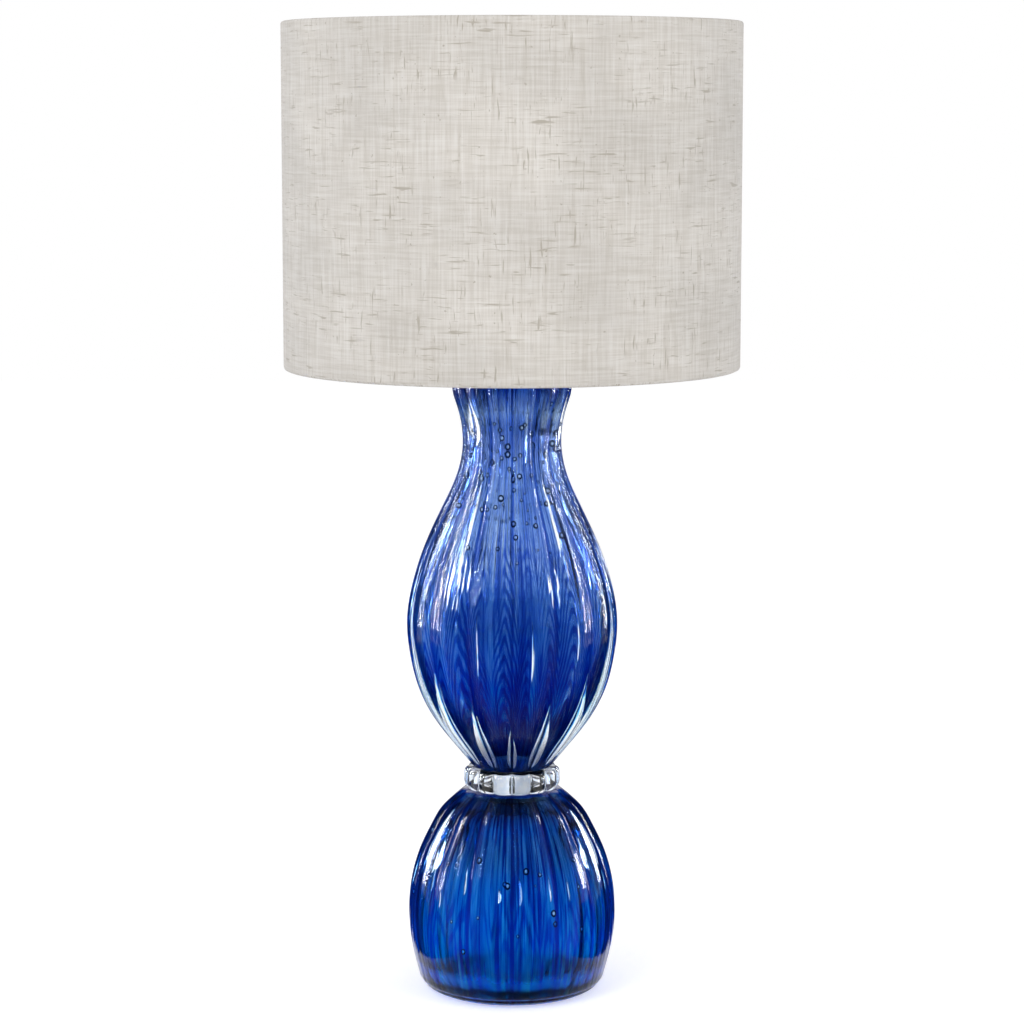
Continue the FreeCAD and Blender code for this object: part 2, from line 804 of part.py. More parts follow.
def make_socket():
    """The socket: cup, shell, card liner, moulded block, screw shell and contacts."""
    neck = cell("rod_radius") + cell("socket_neck_wall")
    neck_top = socket_seat + cell("socket_neck_height")
    cup_inner = cell("socket_radius") + cell("seat_gap")
    cup_outer = cup_inner + cell("cup_wall")
    cup_side = cup_floor + cell("cup_shoulder")
    cup_top = cup_floor + cell("cup_depth")
    turned_part("socket_cap", [
        (cell("rod_radius"), socket_seat),
        (neck, socket_seat),
        (neck, neck_top),
        (cup_outer, cup_side),
        (cup_outer, cup_top),
        (cup_inner, cup_top),
        (cup_inner, cup_side + cell("cup_wall")),
        (neck - cell("cup_wall"), neck_top + cell("cup_wall")),
        (cell("rod_radius"), neck_top + cell("cup_wall")),
    ])
    lip = shell_inner - cell("shell_lip")
    shell = turned_part("socket_shell", [
        (shell_inner, shell_bottom),
        (cell("socket_radius"), shell_bottom),
        (cell("socket_radius"), shell_top),
        (lip, shell_top),
        (lip, shell_top - cell("shell_thick")),
        (shell_inner, shell_top - cell("shell_thick")),
    ])
    cut_switch_hole(shell, switch_hole)
    card = ring_part("socket_insulator", card_inner, card_inner + cell("card_thick"),
                     shell_bottom, shell_top - cell("card_top_gap"))
    cut_switch_hole(card, switch_hole)
    make_socket_body()
    ledge = block_radius - cell("screw_ledge_gap")
    screw_inner = cell("screw_radius")
    screw_outer = screw_inner + cell("screw_wall")
    floor_inner = screw_inner - cell("screw_floor_width")
    floor_top = block_top + cell("screw_wall")
    turned_part("screw_shell", [
        (floor_inner, block_top),
        (ledge, block_top),
        (ledge, floor_top),
        (screw_outer, floor_top),
        (screw_outer, screw_top),
        (screw_inner, screw_top),
        (screw_inner, floor_top),
        (floor_inner, floor_top),
    ])
    contact = new_body("centre_contact")
    tongue = new_sketch(contact, "XZ_Plane")
    tip = block_top + cell("contact_rise")
    draw_outline(tongue, [
        (-cell("contact_reach"), block_top),
        (cell("contact_tip_reach"), tip),
        (cell("contact_tip_reach"), tip + cell("contact_thick")),
        (-cell("contact_bend_reach"), block_top + cell("contact_bend_rise")),
        (-cell("contact_reach"), block_top + cell("contact_thick")),
    ])
    raise_pad(contact, tongue, cell("contact_width"), midplane=True)


def make_socket_body():
    """The moulded block: round with two flats, drilled for the stem and the terminal screws."""
    body = new_body("socket_body")
    flat = cell("socket_block_flat")
    corner = Size(math.sqrt(block_radius.value ** 2 - flat.value ** 2),
                  f"sqrt({block_radius.text} ^ 2 - {flat.text} ^ 2)")
    outline = new_sketch(body, "XY_Plane", block_bottom)
    draw_outline(outline, [
        (flat, -corner),
        (flat, corner, block_radius),
        (-flat, corner),
        (-flat, -corner, block_radius),
    ])
    raise_pad(body, outline, cell("socket_block_height"))
    cut_switch_hole(body, cell("stem_radius") + cell("running_gap"))
    screw_holes = new_sketch(body, "YZ_Plane")
    draw_circle(screw_holes, cell("terminal_shank_radius"), 0, terminal_height)
    cut_through(body, screw_holes, midplane=True)


def make_terminal_screws():
    """Two screws that lie along X in the flats of the block."""
    screws = []
    inner_end = cell("terminal_inner_end")
    for side in (1, -1):
        shank = document.addObject("Part::Cylinder", "terminal_shank")
        shank.setExpression("Radius", "sizes.terminal_shank_radius")
        shank.setExpression("Height", (cell("socket_block_flat") - inner_end).text)
        head = document.addObject("Part::Cylinder", "terminal_head")
        head.setExpression("Radius", "sizes.terminal_head_radius")
        head.setExpression("Height", "sizes.terminal_head_thick")
        for piece, start in ((shank, inner_end), (head, cell("socket_block_flat"))):
            piece.Placement.Rotation = FreeCAD.Rotation(FreeCAD.Vector(0, 1, 0), 90 * side)
            piece.setExpression("Placement.Base.x", (start * side).text)
            piece.setExpression("Placement.Base.z", terminal_height.text)
        screw = document.addObject("Part::Fuse", "terminal_screw")
        screw.Base = shank
        screw.Tool = head
        screws.append(screw)
    group = document.addObject("Part::Compound", "terminal_screws")
    group.Label = "terminal_screws"
    group.Links = screws
    sub_parts.append(group)


def lay_towards_front(body, distance):
    """Lay a piece that is drawn along Z towards -Y, at the height of the switch."""
    body.Placement.Rotation = FreeCAD.Rotation(FreeCAD.Vector(1, 0, 0), 90)
    body.setExpression("Placement.Base.y", (-as_size(distance)).text)
    body.setExpression("Placement.Base.z", switch_height.text)


def make_switch():
    """The turning stem and its flat key."""
    stem = turned_part("switch_stem", [
        (0, 0),
        (cell("stem_radius"), 0),
        (cell("stem_radius"), cell("stem_length")),
        (0, cell("stem_length")),
    ])
    lay_towards_front(stem, cell("stem_inner_end"))
    knob = new_body("switch_knob")
    bore_depth = cell("knob_bore_depth")
    collar_end = cell("knob_collar_length")
    chamfer = cell("edge_chamfer")
    turn(knob, [
        (cell("stem_radius"), 0),
        (cell("knob_collar"), 0),
        (cell("knob_collar"), collar_end - chamfer),
        (cell("knob_collar") - chamfer, collar_end),
        (0, collar_end),
        (0, bore_depth),
        (cell("stem_radius"), bore_depth),
    ])
    key = new_sketch(knob, "XZ_Plane")
    half = cell("knob_width") / 2
    foot = cell("knob_key_foot")
    tip_round = cell("knob_key_round")
    draw_outline(key, [
        (-foot, cell("knob_key_bottom")),
        (foot, cell("knob_key_bottom")),
        (half, cell("knob_key_shoulder")),
        (half, cell("knob_length") - tip_round, tip_round),
        (half - tip_round, cell("knob_length")),
        (tip_round - half, cell("knob_length"), tip_round),
        (-half, cell("knob_length") - tip_round),
        (-half, cell("knob_key_shoulder")),
    ])
    raise_pad(knob, key, cell("knob_thick"), midplane=True)
    lay_towards_front(knob, cell("stem_inner_end") + cell("stem_length") - bore_depth)


bulb_tip = block_top + cell("bulb_rise")
bulb_cap_bottom = bulb_tip + cell("bulb_insulator_top")
bulb_cap_top = bulb_cap_bottom + cell("bulb_cap_height")
bulb_centre = bulb_tip + cell("bulb_length") - cell("bulb_radius")


# Where the bulb's neck meets its ball, as shares of the ball's radius.
HIP_ACROSS = 0.8
HIP_DROP = 0.6


def bulb_envelope(inset):
    """The right half of the bulb's outline, from its neck to its top, moved in by inset."""
    ball = cell("bulb_radius") - inset
    neck = cell("bulb_neck_radius") - inset
    hip = ball * HIP_ACROSS
    return [
        (neck, bulb_cap_top + cell("seat_gap")),
        (neck, bulb_cap_top + cell("bulb_neck_length"), -cell("bulb_neck_bend")),
        (hip, bulb_centre - ball * HIP_DROP, ball),
        (ball, bulb_centre, ball),
    ]


def make_bulb():
    """The bulb: tip, black glass ring, threaded cap, hollow envelope, stem and filaments."""
    contact_top = bulb_tip + cell("bulb_contact_height")
    turned_part("bulb_contact", [
        (0, bulb_tip),
        (cell("bulb_tip_radius"), bulb_tip),
        (cell("bulb_contact_radius"), bulb_tip + cell("bulb_tip_rise")),
        (cell("bulb_contact_radius"), contact_top),
        (0, contact_top),
    ])
    turned_part("bulb_insulator", [
        (0, contact_top),
        (cell("bulb_insulator_foot"), contact_top),
        (cell("bulb_insulator_radius"), bulb_cap_bottom),
        (0, bulb_cap_bottom),
    ])
    crest = cell("bulb_cap_radius")
    root = crest - cell("thread_depth")
    pitch = cell("thread_pitch")
    thread_bottom = bulb_cap_bottom + cell("thread_start")
    outline = [(0, bulb_cap_bottom), (crest - cell("bulb_cap_inset"), bulb_cap_bottom)]
    for thread in range(COUNTS["thread_count"]):
        low = thread_bottom + thread * pitch
        outline.append((root, low))
        outline.append((crest, low + pitch / 2))
    outline += [
        (root, thread_bottom + COUNTS["thread_count"] * pitch),
        (root, bulb_cap_top),
        (0, bulb_cap_top),
    ]
    turned_part("bulb_cap", outline)
    outer = bulb_envelope(0)
    inner = bulb_envelope(cell("bulb_wall"))
    ball = cell("bulb_radius")
    inner_ball = ball - cell("bulb_wall")
    inner_top = bulb_centre + inner_ball
    turned_part("bulb_glass", outer + [
        (0, bulb_centre + ball),
        (0, inner_top, -inner_ball),
        (inner[3][0], inner[3][1], -inner_ball),
        (inner[2][0], inner[2][1], cell("bulb_neck_bend")),
        inner[1],
        inner[0],
    ])
    stem_top = bulb_centre - cell("glass_stem_drop")
    turned_part("bulb_stem", [
        (0, bulb_cap_top),
        (cell("glass_stem_foot"), bulb_cap_top),
        (cell("glass_stem_foot"), bulb_cap_top + cell("glass_stem_foot_height")),
        (cell("glass_stem_radius"), bulb_cap_top + cell("glass_stem_flare")),
        (cell("glass_stem_radius"), stem_top),
        (0, stem_top),
    ])
    make_filaments(stem_top)


def make_filaments(foot_height):
    """Thin lit rods that lean out a little, standing in a ring round the top of the stem."""
    rods = []
    for number in range(COUNTS["filament_count"]):
        rod = document.addObject("Part::Cylinder", "filament")
        rod.setExpression("Radius", "sizes.filament_radius")
        rod.setExpression("Height", "sizes.filament_length")
        heading = 360 / COUNTS["filament_count"] * (number + 0.5)
        lean = FreeCAD.Rotation(FreeCAD.Vector(0, 1, 0), FILAMENT_LEAN)
        turn_round = FreeCAD.Rotation(FreeCAD.Vector(0, 0, 1), heading)
        rod.Placement.Rotation = turn_round.multiply(lean)
        out = "sizes.filament_ring_radius"
        rod.setExpression("Placement.Base.x", f"{out} * cos({heading} deg)")
        rod.setExpression("Placement.Base.y", f"{out} * sin({heading} deg)")
        rod.setExpression("Placement.Base.z", (foot_height - cell("filament_overlap")).text)
        rods.append(rod)
    group = document.addObject("Part::Compound", "bulb_filaments")
    group.Label = "bulb_filaments"
    group.Links = rods
    sub_parts.append(group)


# ---------------------------------------------------------------- harp

saddle_end = saddle_seat + cell("saddle_rise")
post_bottom = saddle_end + cell("saddle_thick")
harp_foot = post_bottom + cell("seat_gap")
harp_top = post_bottom + cell("harp_height")
seat_bottom = harp_top - cell("harp_seat_thick") / 2
seat_top = harp_top + cell("harp_seat_thick") / 2
shoulder_bottom = seat_top + cell("seat_gap")
shoulder_top = shoulder_bottom + cell("stud_shoulder_height")
hub_bottom = shoulder_top + cell("seat_gap")
hub_top = hub_bottom + cell("hub_thick")


def make_harp_saddle():
    """The strip under the socket, bent up at both ends into a tube for each foot of the harp."""
    body = new_body("harp_saddle")
    outer = cell("harp_foot_spread") + cell("saddle_end_half")
    inner = cell("harp_foot_spread") - cell("saddle_end_half")
    run = cell("saddle_bend_run")
    flat = cell("saddle_flat")
    thick = cell("saddle_thick")
    strip = new_sketch(body, "XZ_Plane")
    draw_outline(strip, [
        (-flat, saddle_seat),
        (flat, saddle_seat),
        (inner, saddle_end),
        (outer, saddle_end),
        (outer, saddle_end + thick),
        (inner - run, saddle_end + thick),
        (flat - run, saddle_seat + thick),
        (run - flat, saddle_seat + thick),
        (run - inner, saddle_end + thick),
        (-outer, saddle_end + thick),
        (-outer, saddle_end),
        (-inner, saddle_end),
    ])
    raise_pad(body, strip, cell("saddle_width"), midplane=True)
    drill_rod_hole(body, cell("rod_radius"))
    posts = new_sketch(body, "XY_Plane", post_bottom)
    for side in (1, -1):
        draw_circle(posts, cell("post_radius"), cell("harp_foot_spread") * side)
        bore = cell("harp_wire_radius") + cell("running_gap")
        draw_circle(posts, bore, cell("harp_foot_spread") * side)
    raise_pad(body, posts, cell("harp_foot_depth"))


def make_harp_frame():
    """The wire loop: straight feet, a flare on each side, an arched top and a pierced seat."""
    body = new_body("harp_frame")
    flare = cell("harp_spread") - cell("harp_foot_spread")
    rise = cell("harp_flare_height")
    bend = (rise * rise + flare * flare) / (4 * flare)
    flare_foot = post_bottom + cell("harp_straight")
    arch_end = cell("harp_seat_radius") - cell("harp_seat_bite")
    arch = cell("harp_spread") - arch_end
    section = new_sketch(body, "XY_Plane", harp_foot)
    draw_circle(section, cell("harp_wire_radius"), cell("harp_foot_spread"))
    path = new_sketch(body, "XZ_Plane")
    draw_outline(path, [
        (cell("harp_foot_spread"), harp_foot),
        (cell("harp_foot_spread"), flare_foot, -bend),
        (cell("harp_foot_spread") + flare / 2, flare_foot + rise / 2, bend),
        (cell("harp_spread"), flare_foot + rise),
        (cell("harp_spread"), harp_top - arch, arch),
        (arch_end, harp_top),
    ], closed=False)
    leg = sweep(body, section, path)
    mirror = body.newObject("PartDesign::Mirrored", "harp_other_leg")
    mirror.Originals = [leg]
    mirror.MirrorPlane = (origin_feature(body, "YZ_Plane"), [""])
    body.Tip = mirror
    hole = cell("stud_radius") + cell("running_gap")
    turn(body, [
        (hole, seat_bottom),
        (cell("harp_seat_radius"), seat_bottom),
        (cell("harp_seat_radius"), seat_top),
        (hole, seat_top),
    ])


def make_harp_sleeves():
    """The two sleeves that lock the harp's feet in the saddle's tubes."""
    wide = cell("post_radius") + cell("running_gap")
    narrow = cell("harp_wire_radius") + cell("running_gap")
    bottom = post_bottom + cell("seat_gap")
    step = post_bottom + cell("harp_foot_depth") + cell("sleeve_step_gap")
    top = bottom + cell("sleeve_height")
    chamfer = cell("edge_chamfer")
    for name, side in (("harp_sleeve_right", 1), ("harp_sleeve_left", -1)):
        body = turned_part(name, [
            (wide, bottom),
            (cell("sleeve_radius"), bottom),
            (cell("sleeve_radius"), top - chamfer),
            (cell("sleeve_radius") - chamfer, top),
            (narrow, top),
            (narrow, step),
            (wide, step),
        ])
        body.setExpression("Placement.Base.x", (cell("harp_foot_spread") * side).text)


def make_harp_swivel():
    """The stud that turns in the harp's seat, with a head below and a shoulder above."""
    head_top = seat_bottom - cell("seat_gap")
    head_bottom = head_top - cell("stud_head_thick")
    head = cell("stud_head_radius")
    stud = cell("stud_radius")
    stud_top = shoulder_top + cell("stud_height")
    chamfer = cell("edge_chamfer")
    turned_part("harp_swivel", [
        (0, head_bottom),
        (head - chamfer, head_bottom),
        (head, head_bottom + chamfer),
        (head, head_top),
        (stud, head_top),
        (stud, shoulder_bottom),
        (cell("stud_shoulder_radius"), shoulder_bottom),
        (cell("stud_shoulder_radius"), shoulder_top),
        (stud, shoulder_top),
        (stud, stud_top - chamfer),
        (stud - chamfer, stud_top),
        (0, stud_top),
    ])


# ---------------------------------------------------------------- shade

shade_top = cell("shade_bottom") + cell("shade_height")
linen_inner = cell("shade_radius") - cell("linen_thick")
liner_inner = linen_inner - cell("liner_thick")
wire_ring = liner_inner - cell("shade_wire_radius")
hem_outer = wire_ring - cell("shade_wire_radius")
hem_inner = hem_outer - cell("linen_thick")
wire_inset = cell("linen_thick") + cell("shade_wire_radius")


def make_shade_fabric():
    """The linen drum, turned in over the wire ring at each end and slit round each arm."""
    low = cell("shade_bottom")
    corner = cell("linen_thick")
    body = turned_part("shade_fabric", [
        (hem_inner + corner, low),
        (cell("shade_radius") - corner, low, corner),
        (cell("shade_radius"), low + corner),
        (cell("shade_radius"), shade_top - corner, corner),
        (cell("shade_radius") - corner, shade_top),
        (hem_inner + corner, shade_top, corner),
        (hem_inner, shade_top - corner),
        (hem_inner, shade_top - cell("hem_depth")),
        (hem_outer, shade_top - cell("hem_depth")),
        (hem_outer, shade_top - cell("linen_thick")),
        (linen_inner, shade_top - cell("linen_thick")),
        (linen_inner, low + cell("linen_thick")),
        (hem_outer, low + cell("linen_thick")),
        (hem_outer, low + cell("hem_depth")),
        (hem_inner, low + cell("hem_depth")),
        (hem_inner, low + corner, corner),
    ])
    slit = new_sketch(body, "YZ_Plane")
    slit_inner = hem_inner - cell("slit_overrun")
    slit_outer = hem_outer + cell("slit_gap")
    slit_bottom = shade_top - cell("hem_depth") - cell("slit_overrun")
    draw_outline(slit, [
        (slit_inner, slit_bottom),
        (slit_outer, slit_bottom),
        (slit_outer, shade_top - cell("linen_thick")),
        (slit_inner, shade_top - cell("linen_thick")),
    ])
    cut = body.newObject("PartDesign::Pocket", "arm_slit")
    cut.Profile = slit
    cut.Midplane = True
    cut.setExpression("Length", "3 * sizes.spider_wire_radius")
    repeat_round(body, cut, cell("spider_arm_count"))


def make_shade_frame():
    """The liner, the lower wire ring, and the upper ring with its dropped arms and hub."""
    ring_part("shade_liner", liner_inner, linen_inner,
              cell("shade_bottom") + cell("linen_thick"), shade_top - cell("linen_thick"))
    lower = new_body("shade_bottom_ring")
    turn_wire_ring(lower, cell("shade_bottom") + wire_inset)
    body = new_body("spider_frame")
    upper_height = shade_top - wire_inset
    turn_wire_ring(body, upper_height)
    arm_height = hub_bottom + cell("hub_thick") / 2
    drop = upper_height - arm_height
    arm_start = wire_ring - cell("arm_offset")
    path = new_sketch(body, "YZ_Plane")
    draw_outline(path, [
        (arm_start, upper_height, -drop),
        (arm_start - drop, arm_height),
        (cell("hub_radius") - cell("arm_bite"), arm_height),
    ], closed=False)
    section = new_sketch(body, "XY_Plane", upper_height)
    draw_circle(section, cell("spider_wire_radius"), 0, arm_start)
    arm = sweep(body, section, path)
    repeat_round(body, arm, cell("spider_arm_count"))
    turn(body, [
        (cell("hub_hole_radius"), hub_bottom),
        (cell("hub_radius"), hub_bottom),
        (cell("hub_radius"), hub_top),
        (cell("hub_hole_radius"), hub_top),
    ])


def turn_wire_ring(body, height):
    """Add one of the shade's round wires."""
    sketch = new_sketch(body, "XZ_Plane")
    draw_circle(sketch, cell("shade_wire_radius"), wire_ring, height)
    feature = body.newObject("PartDesign::Revolution", f"{body.Name}_ring")
    feature.Profile = sketch
    feature.ReferenceAxis = (sketch, ["V_Axis"])
    feature.Angle = 360


def make_finial():
    """The small nut on the stud: a collar, a waist and a flattened ball, kept below the rim."""
    bottom = hub_top + cell("seat_gap")
    top = bottom + cell("finial_height")
    bore = cell("stud_radius") + cell("running_gap")
    bore_top = shoulder_top + cell("stud_height") + cell("finial_bore_gap")
    radius = cell("finial_radius")
    waist = radius - cell("finial_waist_inset")
    bend = cell("finial_bend")
    turned_part("finial", [
        (bore, bottom),
        (radius, bottom),
        (radius, bottom + cell("finial_collar_height")),
        (waist, bottom + cell("finial_waist_bottom")),
        (waist, bottom + cell("finial_waist_top"), bend),
        (radius - cell("finial_ball_inset"), bottom + cell("finial_ball_height"), bend),
        (radius - cell("finial_top_inset"), top),
        (0, top),
        (0, bore_top),
        (bore, bore_top),
    ])


# ---------------------------------------------------------------- build, check and write

make_lower_glass_dome()
make_crystal_ring()
make_upper_glass_vase()
make_base_plate()
make_stack_fasteners()
make_seals()
make_neck_cap()
make_cord_bushing()
make_socket()
make_terminal_screws()
make_switch()
make_bulb()
make_harp_saddle()
make_harp_frame()
make_harp_sleeves()
make_harp_swivel()
make_shade_fabric()
make_shade_frame()
make_finial()
document.recompute()

for item in document.Objects:
    if "Invalid" in item.State or "Error" in item.State:
        raise RuntimeError(f"{item.Label} failed: {item.State}")

os.makedirs("parts", exist_ok=True)
for part in sub_parts:
    if part.Shape.isNull() or not part.Shape.isValid():
        raise RuntimeError(f"{part.Label} has no valid shape")
    part.Shape.exportStep(f"parts/{part.Label}.step")
    size = part.Shape.BoundBox
    print(f"{part.Label}: {part.Shape.Volume / 1000:.2f} cm3, {len(part.Shape.Solids)} solids, "
          f"z {size.ZMin:.2f} to {size.ZMax:.2f}")
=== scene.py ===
import json
import math
import random

import bmesh
import bpy
import numpy as np
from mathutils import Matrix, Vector, noise


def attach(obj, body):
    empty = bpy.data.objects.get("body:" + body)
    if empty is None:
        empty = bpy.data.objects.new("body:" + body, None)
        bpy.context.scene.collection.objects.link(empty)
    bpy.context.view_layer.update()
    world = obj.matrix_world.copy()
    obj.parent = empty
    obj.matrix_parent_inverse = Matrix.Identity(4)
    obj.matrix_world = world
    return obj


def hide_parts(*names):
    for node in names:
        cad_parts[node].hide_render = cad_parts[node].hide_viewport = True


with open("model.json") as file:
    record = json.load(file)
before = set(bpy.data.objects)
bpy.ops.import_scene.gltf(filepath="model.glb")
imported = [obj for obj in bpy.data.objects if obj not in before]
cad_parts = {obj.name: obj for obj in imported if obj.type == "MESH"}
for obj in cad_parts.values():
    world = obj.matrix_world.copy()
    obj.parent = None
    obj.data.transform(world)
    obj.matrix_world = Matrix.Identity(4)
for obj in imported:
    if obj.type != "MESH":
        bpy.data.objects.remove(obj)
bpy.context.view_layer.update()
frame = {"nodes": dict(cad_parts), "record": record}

MM = 0.001
TURN = 2 * math.pi
RIB_COUNT = 14
FRONT_GROOVE = 10
GLASS_IOR = 1.5
ROD_HOLE = 5.6 * MM
VASE_FLOOR = 22 * MM
DOME_TOP_WALL = 10 * MM

# Each level of a ribbed glass piece in millimetres: its height above the table, the radius to the
# ridges, the depth of the grooves between the ribs and the radius of the hollow (0 where closed).
DOME_LEVELS = (
    (1.2, 80.0, 0.0, 46.0),
    (18.0, 84.4, 0.0, 65.0),
    (36.0, 88.9, 0.0, 77.0),
    (58.0, 92.0, 0.4, 81.5),
    (80.0, 92.3, 1.8, 82.0),
    (104.0, 89.3, 3.2, 78.5),
    (128.0, 81.9, 3.8, 70.0),
    (150.0, 71.3, 3.8, 57.0),
    (168.0, 59.3, 3.4, 40.0),
    (181.5, 43.5, 2.8, 0.0),
)
VASE_LEVELS = (
    (203.0, 35.5, 2.6, 0.0),
    (217.0, 47.0, 3.6, 0.0),
    (239.0, 64.8, 4.4, 40.0),
    (268.0, 81.2, 4.4, 66.0),
    (301.0, 90.4, 3.8, 78.0),
    (335.0, 93.4, 3.4, 81.5),
    (369.0, 87.9, 3.2, 76.5),
    (403.0, 76.8, 3.2, 65.0),
    (436.0, 61.6, 3.2, 49.5),
    (465.0, 48.6, 3.2, 37.0),
    (498.0, 43.6, 3.0, 32.5),
    (527.0, 49.2, 3.2, 38.0),
    (542.0, 52.8, 3.0, 41.5),
    (550.0, 51.6, 2.4, 43.0),
)

# The blue layer inside each wall, as (height, radius) in millimetres.
DOME_LAYER = (
    (4, 60), (18, 76), (36, 84.5), (58, 88.5), (80, 88), (104, 84), (128, 76), (150, 65), (168, 53),
    (176, 42),
)
VASE_LAYER = (
    (206, 16), (210, 24), (217, 30), (225, 34), (239, 45), (268, 69), (301, 81.5), (335, 86.5),
    (369, 83), (403, 72), (436, 57), (465, 44), (498, 39.2), (527, 44.5), (542, 48), (548, 47.5),
)
LAYER_THICKNESS = 0.3 * MM


# ---- curves


def natural_spline(knots, values):
    """A smooth function of one variable through the given points."""
    knots = np.array(knots, float)
    values = np.array(values, float)
    count = len(knots)
    step = np.diff(knots)
    slope = np.diff(values) / step
    matrix = np.eye(count)
    right = np.zeros(count)
    for i in range(1, count - 1):
        matrix[i, i - 1] = step[i - 1]
        matrix[i, i] = 2 * (step[i - 1] + step[i])
        matrix[i, i + 1] = step[i]
        right[i] = 6 * (slope[i] - slope[i - 1])
    bend = np.linalg.solve(matrix, right)

    def curve(x):
        i = np.clip(np.searchsorted(knots, x) - 1, 0, count - 2)
        low = (knots[i + 1] - x) / step[i]
        high = 1 - low
        cubic = ((low ** 3 - low) * bend[i] + (high ** 3 - high) * bend[i + 1]) * step[i] ** 2 / 6
        return low * values[i] + high * values[i + 1] + cubic

    return curve


# ---- materials


class NodeTree:
    """The node tree of a material or world, with short ways to add and join nodes."""

    def __init__(self, owner):
        owner.use_nodes = True
        self.nodes = owner.node_tree.nodes
        self.links = owner.node_tree.links
        self.nodes.clear()

    def put(self, socket, value):
        """Set a socket to a number or colour, or join another node's output to it."""
        if isinstance(value, bpy.types.NodeSocket):
            self.links.new(value, socket)
        elif isinstance(value, tuple) and len(value) == 3 and socket.type == "RGBA":
            socket.default_value = (*value, 1)
        else:
            socket.default_value = value

    def add(self, kind, inputs=None, **settings):
        """Add a node with these settings and inputs."""
        node = self.nodes.new("ShaderNode" + kind)
        for name, value in settings.items():
            setattr(node, name, value)
        for name, value in (inputs or {}).items():
            self.put(node.inputs[name], value)
        return node

    def place(self, scale=(1, 1, 1), source="Object"):
        """The surface point, stretched along each axis."""
        point = self.add("TexCoord").outputs[source]
        return self.add("Mapping", {"Vector": point, "Scale": scale}).outputs[0]

    def vector(self, operation, first, second=(0, 0, 0)):
        """One step of vector arithmetic."""
        return self.add("VectorMath", {0: first, 1: second}, operation=operation).outputs[0]

    def around(self, turns, rise):
        """A place that goes round the axis with no seam: features shrink with turns and rise."""
        point = self.add("TexCoord").outputs["Object"]
        unit = self.vector("NORMALIZE", self.vector("MULTIPLY", point, (1, 1, 0)))
        ring = self.vector("MULTIPLY", unit, (turns, turns, 0))
        return self.vector("ADD", ring, self.vector("MULTIPLY", point, (0, 0, rise)))

    def noise(self, where, detail=2.0, roughness=0.5, distortion=0.0):
        """Soft random values between 0 and 1."""
        inputs = {"Vector": where, "Scale": 1.0, "Detail": detail, "Roughness": roughness,
                  "Distortion": distortion}
        return self.add("TexNoise", inputs).outputs["Fac"]

    def grain(self, scale, detail=2.0, roughness=0.5, distortion=0.0):
        """Noise that is equally fine all ways."""
        return self.noise(self.place((scale, scale, scale)), detail, roughness, distortion)

    def calculate(self, operation, first, second=0.0):
        """One arithmetic step."""
        return self.add("Math", {0: first, 1: second}, operation=operation).outputs[0]

    def times(self, first, second):
        """The product."""
        return self.calculate("MULTIPLY", first, second)

    def plus(self, first, second):
        """The sum."""
        return self.calculate("ADD", first, second)

    def most(self, first, second):
        """The greater of two values."""
        return self.calculate("MAXIMUM", first, second)

    def spread(self, value, low, high, to_low=0.0, to_high=1.0):
        """Move the range low to high onto to_low to to_high, smoothly and clamped."""
        inputs = {"Value": value, "From Min": low, "From Max": high,
                  "To Min": to_low, "To Max": to_high}
        node = self.add("MapRange", inputs, interpolation_type="SMOOTHSTEP")
        return node.outputs[0]

    def mix(self, factor, first, second, blend="MIX"):
        """Mix two colours."""
        node = self.add("Mix", data_type="RGBA", blend_type=blend)
        self.put(node.inputs["Factor"], factor)
        self.put(node.inputs[6], first)
        self.put(node.inputs[7], second)
        return node.outputs[2]

    def blotch(self, value, dark, light, low=0.3, high=0.7):
        """Two tones that follow a noise."""
        return self.mix(self.spread(value, low, high), dark, light)

    def ramp(self, factor, stops):
        """A colour ramp with the given (position, colour) stops."""
        node = self.add("ValToRGB", {"Fac": factor})
        elements = node.color_ramp.elements
        while len(elements) < len(stops):
            elements.new(0.5)
        for element, (position, colour) in zip(elements, stops):
            element.position = position
            element.color = (*colour, 1)
        return node.outputs["Color"]

    def bump(self, height, strength, distance):
        """A surface normal roughened by the height."""
        inputs = {"Height": height, "Strength": strength, "Distance": distance}
        return self.add("Bump", inputs).outputs["Normal"]

    def seen(self):
        """1 for what is seen directly or in and through glass, and 0 for light on the object."""
        path = self.add("LightPath").outputs
        direct = self.most(path["Is Camera Ray"], path["Is Glossy Ray"])
        return self.most(direct, path["Is Transmission Ray"])


class Shader(NodeTree):
    """A material with one surface shader."""

    def __init__(self, name):
        self.material = bpy.data.materials.new(name)
        super().__init__(self.material)
        self.surface = self.add("BsdfPrincipled")
        self.output = self.add("OutputMaterial", {"Surface": self.surface.outputs[0]})

    def shade(self, **values):
        """Set the surface shader's sockets, named in lower case with underscores."""
        for name, value in values.items():
            label = name.replace("_", " ").title().replace("Ior", "IOR")
            self.put(self.surface.inputs[label], value)


# ---- meshes


def add_object(name, data):
    """A new object in the scene."""
    item = bpy.data.objects.new(name, data)
    bpy.context.scene.collection.objects.link(item)
    return item


def new_piece(name, mesh, body, replaced, materials):
    """An object for the mesh that rides on a body and stands for CAD nodes."""
    piece = add_object(name, mesh)
    for material in materials:
        mesh.materials.append(material)
    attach(piece, body)
    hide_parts(*replaced)
    return piece


def even_turns(count):
    """This many angles, evenly round the circle."""
    return [TURN * number / count for number in range(count)]


def revolve(rows, angles, shape):
    """Points and faces of a closed ring of rows: shape(row, angle) gives each point."""
    points = [shape(row, angle) for row in rows for angle in angles]
    columns = len(angles)
    faces = []
    for r in range(len(rows)):
        following = (r + 1) % len(rows)
        for c in range(columns):
            beside = (c + 1) % columns
            faces.append((r * columns + c, r * columns + beside,
                          following * columns + beside, following * columns + c))
    return points, faces


